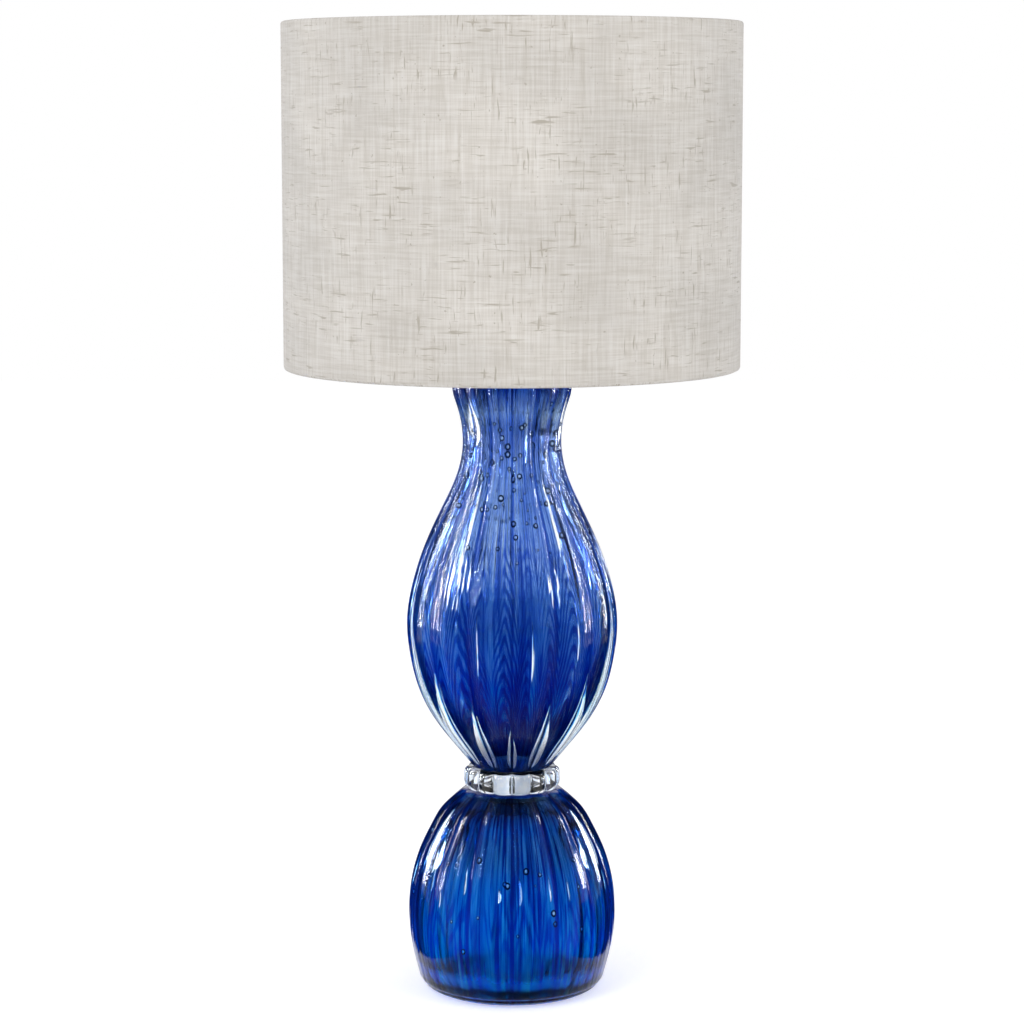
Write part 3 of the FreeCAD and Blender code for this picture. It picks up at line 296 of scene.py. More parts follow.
def mesh_from(name, points, faces, material_index=None):
    """A smooth-shaded mesh from points and faces."""
    mesh = bpy.data.meshes.new(name)
    mesh.from_pydata(points, [], faces)
    mesh.shade_smooth()
    if material_index is not None:
        mesh.polygons.foreach_set("material_index", material_index)
    return mesh


def cylinder_along_y(radius, start, end, height, sides=64):
    """A mesh for boring the back of the dome."""
    points = []
    for y in (start, end):
        points += [(radius * math.cos(turn), y, height + radius * math.sin(turn))
                   for turn in even_turns(sides)]
    faces = [(i, (i + 1) % sides, sides + (i + 1) % sides, sides + i) for i in range(sides)]
    faces += [tuple(reversed(range(sides))), tuple(range(sides, 2 * sides))]
    return mesh_from("cutter", points, faces)


def cut(points, faces, materials, cutters):
    """The points, faces and material numbers that are left after the cutters are taken away."""
    mesh = mesh_from("uncut", points, faces, materials)
    for _ in range(max(materials) + 1):
        mesh.materials.append(None)
    whole = add_object("uncut", mesh)
    tools = [add_object("cutter", cutter) for cutter in cutters]
    for tool in tools:
        modifier = whole.modifiers.new("cut", "BOOLEAN")
        modifier.operation = "DIFFERENCE"
        modifier.solver = "EXACT"
        modifier.object = tool
    bpy.context.view_layer.update()
    result = whole.evaluated_get(bpy.context.evaluated_depsgraph_get()).to_mesh()
    left = ([tuple(vertex.co) for vertex in result.vertices],
            [tuple(face.vertices) for face in result.polygons],
            [face.material_index for face in result.polygons])
    for item in [whole, *tools]:
        bpy.data.objects.remove(item)
    return left


# ---- form of the glass

# The surfaces of a glass piece, in the order of its materials.
OUTER = 0
INNER = 1
COBALT = 2
BUBBLE = 3
# the mirror slivers that carry painted highlights
STREAK = 4

SKIN_COLUMNS = RIB_COUNT * 24
LAYER_COLUMNS = 112
VASE_SKIN_ROWS = 150
VASE_HOLLOW_ROWS = 110
DOME_SKIN_ROWS = 110
DOME_HOLLOW_ROWS = 80
LAYER_ROWS = 140

FOOT_REBATE = 56 * MM
FOOT_REBATE_TOP = 3.2 * MM
CORNER_CENTRE = (66.9 * MM, 18.2 * MM)
CORNER_RADIUS = 17 * MM
CORNER_TOP = 15.4 * MM
CORNER_STEPS = 32
CORNER_START = -12
CORNER_END = -90
FOOT_GROOVE = -38
FOOT_GROOVE_SPREAD = 5
FOOT_GROOVE_DEPTH = 0.9 * MM

# How far hand-blown glass strays from its true form, in slow waves and in upright streaks.
SLOW_STRAY = {OUTER: 0.5 * MM, INNER: 1.0 * MM}
STREAK_STRAY = {OUTER: 0.4 * MM, INNER: 1.2 * MM}
INNER_RIB_DEPTH = 0.8 * MM
TRUE_WITHIN = 15 * MM


def rib_radius(ridge, groove, angle):
    """The radius of a ring of outward arcs that meet in grooves, at this angle."""
    if groove < 0.01 * MM:
        return ridge
    half = math.pi / RIB_COUNT
    from_ridge = abs((angle + half) % (2 * half) - half)
    valley = ridge - groove
    across = valley * math.cos(half)
    rise = ridge - across
    arc = ((valley * math.sin(half)) ** 2 + rise ** 2) / (2 * rise)
    centre = ridge - arc
    return centre * math.cos(from_ridge) + math.sqrt(arc ** 2 - (centre * math.sin(from_ridge)) ** 2)


def groove_angle(groove):
    """Where a groove lies round the piece."""
    return (groove + 0.5) * TURN / RIB_COUNT


def steps_from_front(number):
    """How many ribs on from the front groove, counted anew in each half of the round."""
    return (number - FRONT_GROOVE) % (RIB_COUNT // 2)


class GlassForm:
    """The profile of one ribbed glass piece, whose hollow ends at the given (height, radius)."""

    def __init__(self, levels, hollow_end):
        heights = [level[0] * MM for level in levels]
        self.low = heights[0]
        self.high = heights[-1]
        self.ridge = natural_spline(heights, [level[1] * MM for level in levels])
        self.groove = natural_spline(heights, [level[2] * MM for level in levels])
        hollow = [(level[0] * MM, level[3] * MM) for level in levels if level[3] > 0]
        hollow = sorted([*hollow, hollow_end])
        self.hollow = natural_spline([level[0] for level in hollow], [level[1] for level in hollow])


def foot_corner_rows():
    """Rows round the foot's rounded corner, with its narrow groove. Angles are in degrees."""
    rows = []
    for step in range(CORNER_STEPS + 1):
        degrees = CORNER_START + (CORNER_END - CORNER_START) * step / CORNER_STEPS
        off_groove = (degrees - FOOT_GROOVE) / FOOT_GROOVE_SPREAD
        reach = CORNER_RADIUS - FOOT_GROOVE_DEPTH * math.exp(-off_groove ** 2)
        angle = math.radians(degrees)
        rows.append((CORNER_CENTRE[0] + reach * math.cos(angle),
                     CORNER_CENTRE[1] + reach * math.sin(angle), 0.0, OUTER))
    return rows


def vase_rows(form):
    """The vase's section as rows of (ridge radius, height, groove depth, side), once round."""
    floor = form.low + VASE_FLOOR
    lip = form.high
    rows = [(ROD_HOLE, form.low, 0, OUTER), (ROD_HOLE + 8 * MM, form.low, 0, OUTER)]
    rows.append((form.ridge(form.low) - 6 * MM, form.low, 0, OUTER))
    for height in np.linspace(form.low + 0.3 * MM, lip - 3 * MM, VASE_SKIN_ROWS):
        rows.append((form.ridge(height), height, form.groove(height), OUTER))
    rows.append((form.ridge(lip) - 1.2 * MM, lip - 0.9 * MM, form.groove(lip) * 0.8, OUTER))
    rows.append((form.ridge(lip) - 2.8 * MM, lip, form.groove(lip) * 0.4, OUTER))
    rows.append((form.hollow(lip) + 1.5 * MM, lip, 0, INNER))
    for height in np.linspace(lip - 1 * MM, floor + 1 * MM, VASE_HOLLOW_ROWS):
        rows.append((form.hollow(height), height, 0, INNER))
    rows.append((form.hollow(floor) - 3 * MM, floor, 0, INNER))
    rows.append((ROD_HOLE + 6 * MM, floor, 0, INNER))
    rows.append((ROD_HOLE, floor, 0, INNER))
    return rows


def dome_rows(form):
    """The dome's section as rows, once round."""
    ceiling = form.high - DOME_TOP_WALL
    rebate = FOOT_REBATE_TOP
    rows = [(ROD_HOLE, form.high, 0, OUTER), (ROD_HOLE + 8 * MM, form.high, 0, OUTER)]
    rows.append((form.ridge(form.high) - 5 * MM, form.high, 0, OUTER))
    for height in np.linspace(form.high - 0.3 * MM, CORNER_TOP, DOME_SKIN_ROWS):
        rows.append((form.ridge(height), height, max(form.groove(height), 0), OUTER))
    rows += foot_corner_rows()
    rows += [(FOOT_REBATE, form.low, 0, OUTER), (FOOT_REBATE, rebate, 0, OUTER)]
    rows.append((form.hollow(rebate) + 1 * MM, rebate, 0, INNER))
    for height in np.linspace(rebate + 1 * MM, ceiling - 1 * MM, DOME_HOLLOW_ROWS):
        rows.append((form.hollow(height), height, 0, INNER))
    rows.append((form.hollow(ceiling) - 3 * MM, ceiling, 0, INNER))
    rows.append((ROD_HOLE, ceiling, 0, INNER))
    rows.reverse()
    return rows


def layer_rows(levels):
    """A thin closed layer inside the wall, through the given levels."""
    heights = [level[0] * MM for level in levels]
    radius = natural_spline(heights, [level[1] * MM for level in levels])
    rows = [(radius(height), height, 0, COBALT)
            for height in np.linspace(heights[0], heights[-1], LAYER_ROWS)]
    back = [(row[0] - LAYER_THICKNESS, row[1], 0, COBALT) for row in reversed(rows)]
    return rows + back


def glass_point(row, angle):
    """A point of a glass piece: the ribs, and the slight unevenness of hand-blown glass."""
    ridge, height, groove, side = row
    radius = rib_radius(ridge, groove, angle)
    across = Vector((math.cos(angle), math.sin(angle), 0))
    if radius > TRUE_WITHIN and side != COBALT:
        slow = noise.noise(Vector((across.x * 1.6, across.y * 1.6, height * 14 + side * 7)))
        streak = noise.noise(Vector((across.x * 17, across.y * 17, height * 13 + side * 3)))
        radius += slow * SLOW_STRAY[side] + streak * STREAK_STRAY[side]
        if side == INNER:
            radius += INNER_RIB_DEPTH * math.cos(RIB_COUNT * angle)
    return (radius * across.x, radius * across.y, height)


# ---- what the glass holds: air bubbles, and slivers of painted highlight

BUBBLE_SIZES = (1.0, 1.4, 1.8, 2.2, 2.7)
BUBBLE_STRETCH = 1.25
SLIVER_STEPS = 40
SLIVER_CORNERS = ((-1, 0), (0, -0.25), (1, 0), (0, 0.25))
SLIVER_GAP = 0.9 * MM
SLIVER_COVER = 1.2 * MM
SLIVER_WOBBLE = 0.5 * MM
CLEAR_MARGIN = 0.8 * MM
CLEAR_FADE = 1.2 * MM


class GlassBuilder:
    """Collects the surfaces of one glass piece."""

    def __init__(self, form):
        self.form = form
        self.points = []
        self.faces = []
        self.materials = []
        self.slivers = []

    def add(self, points, faces, materials):
        """Add a surface."""
        start = len(self.points)
        self.points += points
        self.faces += [tuple(start + i for i in face) for face in faces]
        self.materials += materials

    def add_rows(self, rows, columns, cutters=()):
        """Add a closed ring of rows, less the cutters."""
        points, faces = revolve(rows, even_turns(columns), glass_point)
        materials = []
        for number, row in enumerate(rows):
            following = rows[(number + 1) % len(rows)]
            kind = OUTER if OUTER in (row[3], following[3]) else row[3]
            materials += [kind] * columns
        if cutters:
            points, faces, materials = cut(points, faces, materials, cutters)
        self.add(points, faces, materials)

    def skin_radius(self, height, angle):
        """How far out the skin is."""
        return rib_radius(self.form.ridge(height), self.form.groove(height), angle)

    def add_bubbles(self, count, low, high, seed):
        """Small air bubbles inside the wall, as spheres turned inside out."""
        random.seed(seed)
        ball = bmesh.new()
        bmesh.ops.create_icosphere(ball, subdivisions=2, radius=1)
        ball_points = [v.co.copy() for v in ball.verts]
        ball_faces = [tuple(v.index for v in reversed(face.verts)) for face in ball.faces]
        ball.free()
        for _ in range(count):
            height = random.triangular(low, high, low + 0.7 * (high - low))
            angle = random.uniform(0, TURN)
            size = random.choice(BUBBLE_SIZES) * MM
            distance = self.skin_radius(height, angle) - size - random.uniform(0.5, 0.9) * MM
            centre = Vector((distance * math.cos(angle), distance * math.sin(angle), height))
            points = [tuple(centre + Vector((p.x, p.y, p.z * BUBBLE_STRETCH)) * size)
                      for p in ball_points]
            self.add(points, ball_faces, [BUBBLE] * len(ball_faces))

    def add_streaks(self, low, flanks):
        """Painted highlights: bright mirror slivers just under the skin, a pair of them beside each
        groove.
        """
        for groove, (top, widths) in enumerate(flanks):
            for side, width in zip((-1, 1), widths):
                reach = top * MM * (1 - 0.02 * side)
                self.add_sliver(low, reach, groove_angle(groove), side, width * MM)

    def add_glints(self, count, low, high, shortest, longest, seed):
        """Painted highlights: short thin slivers scattered round a band."""
        random.seed(seed)
        for _ in range(count):
            start = random.uniform(low, high)
            top = start + random.uniform(shortest, longest)
            angle = random.uniform(0, TURN)
            self.add_sliver(start, top, angle, 1, random.uniform(1.6, 3.0) * MM)

    def add_neck_gleams(self):
        """Painted highlights: broader bright places beside four of the grooves, just below the mouth."""
        for groove in range(RIB_COUNT):
            if steps_from_front(groove) in (3, 5):
                middle = groove_angle(groove)
                self.add_sliver(0.492, 0.540, middle, 1, 8.0 * MM)
                self.add_sliver(0.498, 0.534, middle, -1, 4.5 * MM)

    def add_shoulder_gleams(self):
        """Painted highlights: broad bright places on four shoulder ribs, each with a small one beside
        it.
        """
        for rib in range(RIB_COUNT):
            steps = steps_from_front(rib)
            if steps in (2, 4):
                middle = (rib + 1) * TURN / RIB_COUNT
                side = 1 if steps == 2 else -1
                self.add_sliver(0.116, 0.168, middle - side * 0.08, side, 10.0 * MM)
                self.add_sliver(0.118, 0.145, middle - side * 0.14, -side, 5.0 * MM)

    def add_highlight_cloud(self, middle, count, low, high, seed):
        """A painted highlight: a cloud of fine bright threads that run up the wall."""
        random.seed(seed)
        for _ in range(count):
            angle = middle + random.gauss(0, 0.10)
            start = low + random.uniform(0, 0.35) * (high - low)
            top = high - random.uniform(0, 0.35) * (high - low)
            self.add_sliver(start, top, angle, 1, random.uniform(1.3, 2.8) * MM)

    def add_sliver(self, low, top, middle, side, width):
        """One sliver of painted highlight: a thin closed leaf that starts narrow, swells and ends in a
        point.
        """
        rows = []
        for step in range(SLIVER_STEPS + 1):
            along = step / SLIVER_STEPS
            height = low + (top - low) * along
            swell = math.sin(math.pi * along ** 0.62) ** 1.1
            half_width = width * (0.06 + 0.44 * swell)
            centre = side * (SLIVER_GAP + 1.12 * half_width)
            wobble = noise.noise(Vector((middle * 9, side * 5, height * 60))) * SLIVER_WOBBLE
            rows.append((height, centre + wobble, half_width))
        self.slivers.append((middle, rows))
        points = []
        for height, centre, half_width in rows:
            for across, depth in SLIVER_CORNERS:
                angle = middle + (centre + across * half_width) / self.form.ridge(height)
                radius = self.skin_radius(height, angle) - SLIVER_COVER + depth * MM
                points.append((radius * math.cos(angle), radius * math.sin(angle), height))
        last = 4 * SLIVER_STEPS
        faces = []
        for start in range(0, last, 4):
            for corner in range(4):
                beside = (corner + 1) % 4
                faces.append((start + corner, start + beside, start + 4 + beside, start + 4 + corner))
        faces += [(3, 2, 1, 0), (last, last + 1, last + 2, last + 3)]
        self.add(points, faces, [STREAK] * len(faces))

    def clearness(self):
        """1 where the skin lies over a sliver and 0 elsewhere, for each point."""
        points = np.array(self.points)
        angle = np.arctan2(points[:, 1], points[:, 0])
        height = points[:, 2]
        ridge = self.form.ridge(height)
        clear = np.zeros(len(points))
        for middle, rows in self.slivers:
            heights, centres, halves = np.array(rows).T
            turned = (angle - middle + math.pi) % TURN - math.pi
            off = np.abs(turned * ridge - np.interp(height, heights, centres))
            room = np.interp(height, heights, halves) + CLEAR_MARGIN - off
            inside = np.clip(room / CLEAR_FADE, 0, 1)
            inside[(height < heights[0]) | (height > heights[-1])] = 0
            clear = np.maximum(clear, inside)
        return clear

    def finish(self, name, node, materials):
        """Make the piece that stands for a CAD node."""
        mesh = mesh_from(name, self.points, self.faces, self.materials)
        for face, kind in zip(mesh.polygons, self.materials):
            face.use_smooth = kind != STREAK
        layer = mesh.attributes.new("clearness", "FLOAT", "POINT")
        layer.data.foreach_set("value", self.clearness())
        new_piece(name, mesh, "base", [node], materials)


# ---- glass materials


class BlueGlass(Shader):
    """Blue glass whose colour follows the height and deepens in streaks, veins and arches."""

    def __init__(self, name, stops, streaks):
        super().__init__(name)
        self.point = self.add("TexCoord").outputs["Object"]
        axes = self.add("SeparateXYZ", {"Vector": self.point}).outputs
        self.angle = self.calculate("ARCTAN2", axes["Y"], axes["X"])
        self.height = axes["Z"]
        self.colour = self.ramp(self.height, stops)
        broad = self.streaky(17, 13, 2.0, 0.6, 0.3)
        fine = self.streaky(42, 9, 2.0, 0.6, 0.2)
        slow = self.streaky(3, 8, 2.0)
        self.depth = self.spread(broad, 0.25, 0.75, 1 - streaks, 1 + streaks)
        self.scale(self.spread(fine, 0.3, 0.7, 1 - 0.7 * streaks, 1 + 0.7 * streaks))
        self.scale(self.spread(slow, 0.3, 0.7, 0.70, 1.1))

    def streaky(self, turns, rise, detail=1.0, roughness=0.5, distortion=0.0):
        """Noise that goes round the piece."""
        return self.noise(self.around(turns, rise), detail, roughness, distortion)

    def scale(self, value):
        """Multiply the depth of the colour."""
        self.depth = self.times(self.depth, value)

    def deepen(self, value):
        """Add to the depth of the colour."""
        self.depth = self.plus(self.depth, value)

    def add_grooves(self, amount):
        """Painted shade: deeper colour along the grooves."""
        ribs = self.times(self.angle, RIB_COUNT / math.pi)
        across = self.calculate("PINGPONG", ribs, 1.0)
        self.deepen(self.spread(across, 0.86, 0.97, 0.0, amount))

    def add_veins(self, amount):
        """Thin dark veins and pale ones that run up the wall."""
        dark = self.streaky(36, 12, distortion=0.4)
        pale = self.streaky(30, 14, distortion=0.4)
        self.deepen(self.spread(dark, 0.56, 0.62, 0.0, amount))
        self.scale(self.spread(pale, 0.58, 0.66, 1.0, 0.3))

    def add_arches(self, low, high, pitch, drop, dark, pale):
        """Nested pointed arches, two across each rib, between two heights."""
        turn = self.times(self.angle, 2 * RIB_COUNT / math.pi)
        warp = self.times(self.streaky(4, 5), 1.4)
        off = self.calculate("PINGPONG", self.plus(turn, warp), 1.0)
        fall = self.times(self.calculate("POWER", off, 1.6), drop / pitch)
        drift = self.times(self.streaky(6, 9), 3.0)
        level = self.plus(self.plus(self.times(self.height, 1 / pitch), fall), drift)
        wave = self.calculate("SINE", self.times(level, TURN))
        zone = self.times(self.spread(self.height, low, low + 0.02),
                          self.spread(self.height, high, high - 0.03))
        zone = self.times(zone, self.spread(self.streaky(4, 7), 0.32, 0.48))
        self.deepen(self.times(self.spread(wave, 0.1, 0.8, 0.0, dark), zone))
        lines = self.times(self.spread(wave, -0.2, -0.9, 0.0, pale), zone)
        self.scale(self.calculate("SUBTRACT", 1.0, lines))

    def add_edge(self, amount):
        """More glass to look through where the wall turns away."""
        facing = self.add("LayerWeight", {"Blend": 0.5}).outputs["Facing"]
        self.deepen(self.spread(facing, 0.42, 0.88, 0.0, amount))

    def clear_over_slivers(self):
        """Hardly any colour over the slivers of painted highlight."""
        clear = self.add("Attribute", attribute_name="clearness").outputs["Fac"]
        self.scale(self.spread(clear, 0.0, 1.0, 1.0, 0.03))

    def add_painted_highlight_spot(self, place, reach):
        """A painted highlight: the blue is made paler round a place, fading out at the reach."""
        away = self.add("VectorMath", {0: self.point, 1: place}, operation="DISTANCE")
        self.scale(self.spread(away.outputs["Value"], 0.2 * reach, reach, 0.28, 1.0))

    def ripple(self, strength):
        """Fine waves along the wall that break up the highlights."""
        waves = self.streaky(30, 11, 2.0, distortion=0.2)
        self.shade(normal=self.bump(waves, strength, 0.0015))

    def finish(self, ior, roughness=0.0):
        """Set the surface and give back the material."""
        depth = self.calculate("MINIMUM", self.depth, DEEPEST)
        deep = self.add("Gamma", {"Color": self.colour, "Gamma": depth}).outputs[0]
        self.shade(base_color=deep, roughness=roughness, transmission_weight=1.0, ior=ior,
                   specular_tint=(0.02, 0.05, 0.10))
        return self.material


def skin_glass(name, stops, streaks, veins, arches, highlight_spots, waves):
    """The outer surface, which carries the sharp part of the pattern."""
    glass = BlueGlass(name, stops, streaks)
    # Painted shade in the grooves.
    glass.add_grooves(5.0)
    glass.add_veins(veins)
    glass.add_arches(**arches)
    # Paler spots of painted highlight.
    for place, reach in highlight_spots:
        glass.add_painted_highlight_spot(place, reach)
    glass.add_edge(5.0)
    glass.clear_over_slivers()
    glass.ripple(waves)
    return glass.finish(GLASS_IOR)


def layer_glass():
    """The blue layer inside the wall, which doesn't bend the light again."""
    glass = BlueGlass("cobalt_layer", COBALT_STOPS, 0.5)
    # Faint painted shade in the grooves.
    glass.add_grooves(0.5)
    return glass.finish(1.0)


def hollow_glass(name, roughness=0.0, cloudy=None):
    """The surface of a hollow. cloudy: between which heights it clears, and how clear it starts."""
    glass = BlueGlass(name, HOLLOW_STOPS, 0.3)
    material = glass.finish(GLASS_IOR, roughness)
    if cloudy:
        low, high, clearest = cloudy
        glass.shade(transmission_weight=glass.spread(glass.height, low, high, clearest, 1.0))
    return material


def bubble_glass():
    """Trapped air, with painted shade round the rim and a painted highlight in the middle."""
    shader = Shader("air_bubble")
    facing = shader.add("LayerWeight", {"Blend": 0.5}).outputs["Facing"]
    colour = shader.ramp(facing, [
        (0.0, (0.85, 0.92, 1.0)),
        (0.09, (0.50, 0.66, 0.95)),
        (0.17, (0.0, 0.004, 0.035)),
    ])
    shader.shade(base_color=colour, roughness=0.25, metallic=0.3)
    return shader.material


def painted_highlight_glass():
    """Painted highlights for the slivers: mirror leaves, blue to white, that throw back the studio's
    light as bright flanks beside the grooves.
    """
    shader = Shader("bright_flank")
    fine = shader.noise(shader.around(60, 12), roughness=0.6)
    colour = shader.ramp(shader.spread(fine, 0.36, 0.46), [
        (0.0, (0.20, 0.36, 0.78)),
        (0.5, (0.90, 0.94, 1.0)),
        (1.0, (0.97, 0.98, 1.0)),
    ])
    shader.shade(base_color=colour, metallic=1.0, roughness=0.25)
    return shader.material


VASE_SKIN_STOPS = [
    (0.190, (0.03, 0.11, 0.38)),
    (0.216, (0.04, 0.16, 0.48)),
    (0.236, (0.10, 0.40, 0.78)),
    (0.275, (0.10, 0.52, 0.86)),
    (0.335, (0.30, 0.56, 0.86)),
    (0.380, (0.46, 0.58, 0.85)),
    (0.490, (0.44, 0.59, 0.87)),
    (0.520, (0.48, 0.64, 0.90)),
    (0.543, (0.15, 0.36, 0.74)),
]
DEEPEST = 4.2
# Painted highlights on the front left of the belly, as (centre, reach) in metres.
PAINTED_HIGHLIGHT_SPOTS = [((-0.046, -0.052, 0.418), 0.034), ((-0.030, -0.050, 0.452), 0.022)]
DOME_SKIN_STOPS = [
    (0.000, (0.10, 0.62, 0.98)),
    (0.060, (0.09, 0.52, 0.92)),
    (0.090, (0.12, 0.42, 0.80)),
    (0.140, (0.14, 0.36, 0.72)),
    (0.165, (0.07, 0.28, 0.64)),
]
COBALT_STOPS = [
    (0.000, (0.040, 0.520, 0.880)),
    (0.060, (0.030, 0.405, 0.730)),
    (0.090, (0.078, 0.389, 0.665)),
    (0.120, (0.133, 0.411, 0.653)),
    (0.140, (0.13, 0.352, 0.589)),
    (0.165, (0.058, 0.188, 0.432)),
    (0.190, (0.337, 0.549, 0.805)),
    (0.275, (0.55, 0.71, 0.906)),
    (0.310, (0.467, 0.648, 0.877)),
    (0.335, (0.452, 0.636, 0.827)),
    (0.380, (0.568, 0.678, 0.872)),
    (0.440, (0.56, 0.664, 0.86)),
    (0.490, (0.656, 0.731, 0.906)),
    (0.520, (0.847, 0.911, 0.98)),
    (0.543, (0.062, 0.164, 0.454)),
]
HOLLOW_STOPS = [
    (0.00, (0.85, 0.92, 1.0)),
    (0.19, (0.85, 0.92, 1.0)),
    (0.20, (0.0001, 0.022, 0.19)),
    (0.29, (0.0003, 0.066, 0.46)),
    (0.335, (0.120, 0.31, 0.66)),
    (0.40, (0.85, 0.94, 1.0)),
    (0.47, (0.85, 0.94, 1.0)),
    (0.51, (0.125, 0.24, 0.58)),
    (0.543, (0.85, 0.92, 1.0)),
]


def bright_flanks():
    """For each groove, how high its two painted-highlight flanks reach and how wide they are, in
    millimetres.
    """
    fronts = [(246, 3.4, 3.4), (267, 5.2, 5.2), (290, 8.0, 8.5), (375, 22.0, 8.0)]
    behind = [(300, 8.0, 9.0), (262, 5.0, 4.0), (318, 9.0, 8.0), (284, 6.0, 8.0), (268, 4.5, 5.0)]
    flanks = []
    for groove in range(RIB_COUNT):
        steps = (groove - FRONT_GROOVE + RIB_COUNT // 2) % RIB_COUNT - RIB_COUNT // 2
        row = fronts[abs(steps)] if abs(steps) < len(fronts) else behind[steps % len(behind)]
        top, near, far = row
        flanks.append((top, (far, near) if steps < 0 else (near, far)))
    return flanks


def make_vase(inside):
    """The tall vase, with the given materials inside its wall."""
    arches = {"low": 0.24, "high": 0.42, "pitch": 0.016, "drop": 0.050, "dark": 4.5, "pale": 0.85}
    skin = skin_glass("vase_skin", VASE_SKIN_STOPS, streaks=0.35, veins=3.0, arches=arches,
                      highlight_spots=PAINTED_HIGHLIGHT_SPOTS, waves=0.45)
    hollow = hollow_glass("vase_hollow", cloudy=(0.31, 0.37, 0.35))
    form = GlassForm(VASE_LEVELS, (VASE_LEVELS[0][0] * MM + VASE_FLOOR, 24 * MM))
    builder = GlassBuilder(form)
    builder.add_rows(vase_rows(form), SKIN_COLUMNS)
    builder.add_rows(layer_rows(VASE_LAYER), LAYER_COLUMNS)
    builder.add_bubbles(300, low=0.36, high=0.545, seed=3)
    # Painted highlights: mirror slivers under the skin, and clouds of them on the belly.
    builder.add_streaks(206.5 * MM, bright_flanks())
    builder.add_glints(26, low=0.285, high=0.40, shortest=0.03, longest=0.07, seed=11)
    builder.add_neck_gleams()
    for turn in even_turns(3):
        builder.add_highlight_cloud(turn - math.radians(126), 10, low=0.352, high=0.418, seed=21)
        builder.add_highlight_cloud(turn - math.radians(66), 4, low=0.355, high=0.400, seed=22)
    builder.finish("vase_glass", "upper_glass_vase", [skin, hollow, *inside])


def make_dome(inside):
    """The low dome, with the given materials inside its wall and the cord's hole at its back."""
    arches = {"low": 0.045, "high": 0.115, "pitch": 0.034, "drop": 0.05, "dark": 1.8, "pale": 0.45}
    skin = skin_glass("dome_skin", DOME_SKIN_STOPS, streaks=0.45, veins=4.5, arches=arches,
                      highlight_spots=[], waves=0.22)
    hollow = hollow_glass("dome_hollow", roughness=0.3)
    form = GlassForm(DOME_LEVELS, (DOME_LEVELS[-1][0] * MM - DOME_TOP_WALL, 26 * MM))
    builder = GlassBuilder(form)
    hole = cylinder_along_y(5.1 * MM, 50 * MM, 100 * MM, height=24 * MM)
    spot_face = cylinder_along_y(7.0 * MM, 83.5 * MM, 100 * MM, height=24 * MM)
    builder.add_rows(dome_rows(form), SKIN_COLUMNS, [hole, spot_face])
    builder.add_rows(layer_rows(DOME_LAYER), LAYER_COLUMNS, [hole])
    builder.add_bubbles(60, low=0.02, high=0.16, seed=5)
    # Painted highlights: glints and gleams on the dome's shoulder.
    builder.add_glints(44, low=0.082, high=0.125, shortest=0.012, longest=0.034, seed=12)
    builder.add_shoulder_gleams()
    builder.finish("dome_glass", "lower_glass_dome", [skin, hollow, *inside])


# ---- shade


SHADE_RADIUS = 200.0
SHADE_LOW = 559.0
SHADE_TOP = 859.0

# The edge that is rolled in over the wire: how far each row lies inside the drum's outer radius
# and from its end, in millimetres.
HEM = (
    (0.7, 0.6), (2.0, 0.0), (3.4, 0.0), (4.6, 0.6), (5.0, 2.0), (5.0, 5.0), (4.9, 8.0), (4.2, 8.0),
    (4.2, 2.5), (3.4, 0.8), (1.6, 0.8), (0.8, 2.4),
)
ARM_COUNT = 3
SLIT_HALF = 1.9 / 195
SLIT_TOP = SHADE_TOP - 1.3
SEAM_START = 0.0006
SEAM_WIDTH = 13 / SHADE_RADIUS
SEAM_RISE = 0.45


def shade_rows():
    """The cloth's section as rows of (radius, height) in millimetres, once round."""
    side = SHADE_TOP - SHADE_LOW
    rows = [(SHADE_RADIUS, SHADE_LOW + 2 + (side - 4) * step / 24) for step in range(25)]
    rows += [(SHADE_RADIUS - inward, SHADE_TOP - along) for inward, along in HEM]
    rows += [(SHADE_RADIUS - 0.8, SHADE_TOP - 4 - (side - 8) * step / 12) for step in range(13)]
    rows += [(SHADE_RADIUS - inward, SHADE_LOW + along) for inward, along in reversed(HEM)]
    return rows


def shade_point(row, angle):
    """A point of the cloth, with the overlap at the seam and the slits for the arms."""
    radius, height = row
    wave = noise.noise(Vector((math.cos(angle) * 1.3, math.sin(angle) * 1.3, height * 0.004)))
    if radius > 199.0:
        radius += wave * 0.25
    if radius > 199.5 and SEAM_START / 2 < angle < SEAM_WIDTH:
        radius += SEAM_RISE * min(1.0, 4 * (1 - angle / SEAM_WIDTH))
    from_slit = min(abs((angle - slit + math.pi) % TURN - math.pi) for slit in even_turns(ARM_COUNT))
    if radius < 196 and SHADE_TOP - 9 < height < SLIT_TOP and from_slit < 1.04 * SLIT_HALF:
        height = SLIT_TOP
    turn = angle + math.pi / 2
    return (radius * MM * math.cos(turn), radius * MM * math.sin(turn), height * MM)


def add_weave(mesh, rows, angles):
    """Map the cloth in metres, round the drum and across its section."""
    layer = mesh.uv_layers.new(name="weave")
    lengths = [0.0]
    for before, here in zip(rows, [*rows[1:], rows[0]]):
        lengths.append(lengths[-1] + math.dist(before, here) * MM)
    along = [angle * SHADE_RADIUS * MM for angle in [*angles, TURN]]
    for number, polygon in enumerate(mesh.polygons):
        row, column = divmod(number, len(angles))
        corners = ((column, row), (column + 1, row), (column + 1, row + 1), (column, row + 1))
        for loop, (c, r) in zip(polygon.loop_indices, corners):
            layer.data[loop].uv = (along[c], lengths[r])


def make_shade():
    """The linen drum, its edges rolled in over the wire rings."""
    angles = even_turns(240)
    for slit in even_turns(ARM_COUNT):
        angles += [(slit + step * SLIT_HALF) % TURN for step in (-1.08, -1, 1, 1.08)]
    angles += [SEAM_START, SEAM_WIDTH * 0.75, SEAM_WIDTH]
    angles.sort()
    rows = shade_rows()
    points, faces = revolve(rows, angles, shade_point)
    mesh = mesh_from("shade_linen", points, faces)
    add_weave(mesh, rows, angles)
    piece = new_piece("shade_linen", mesh, "shade", ["shade_fabric"], [linen()])


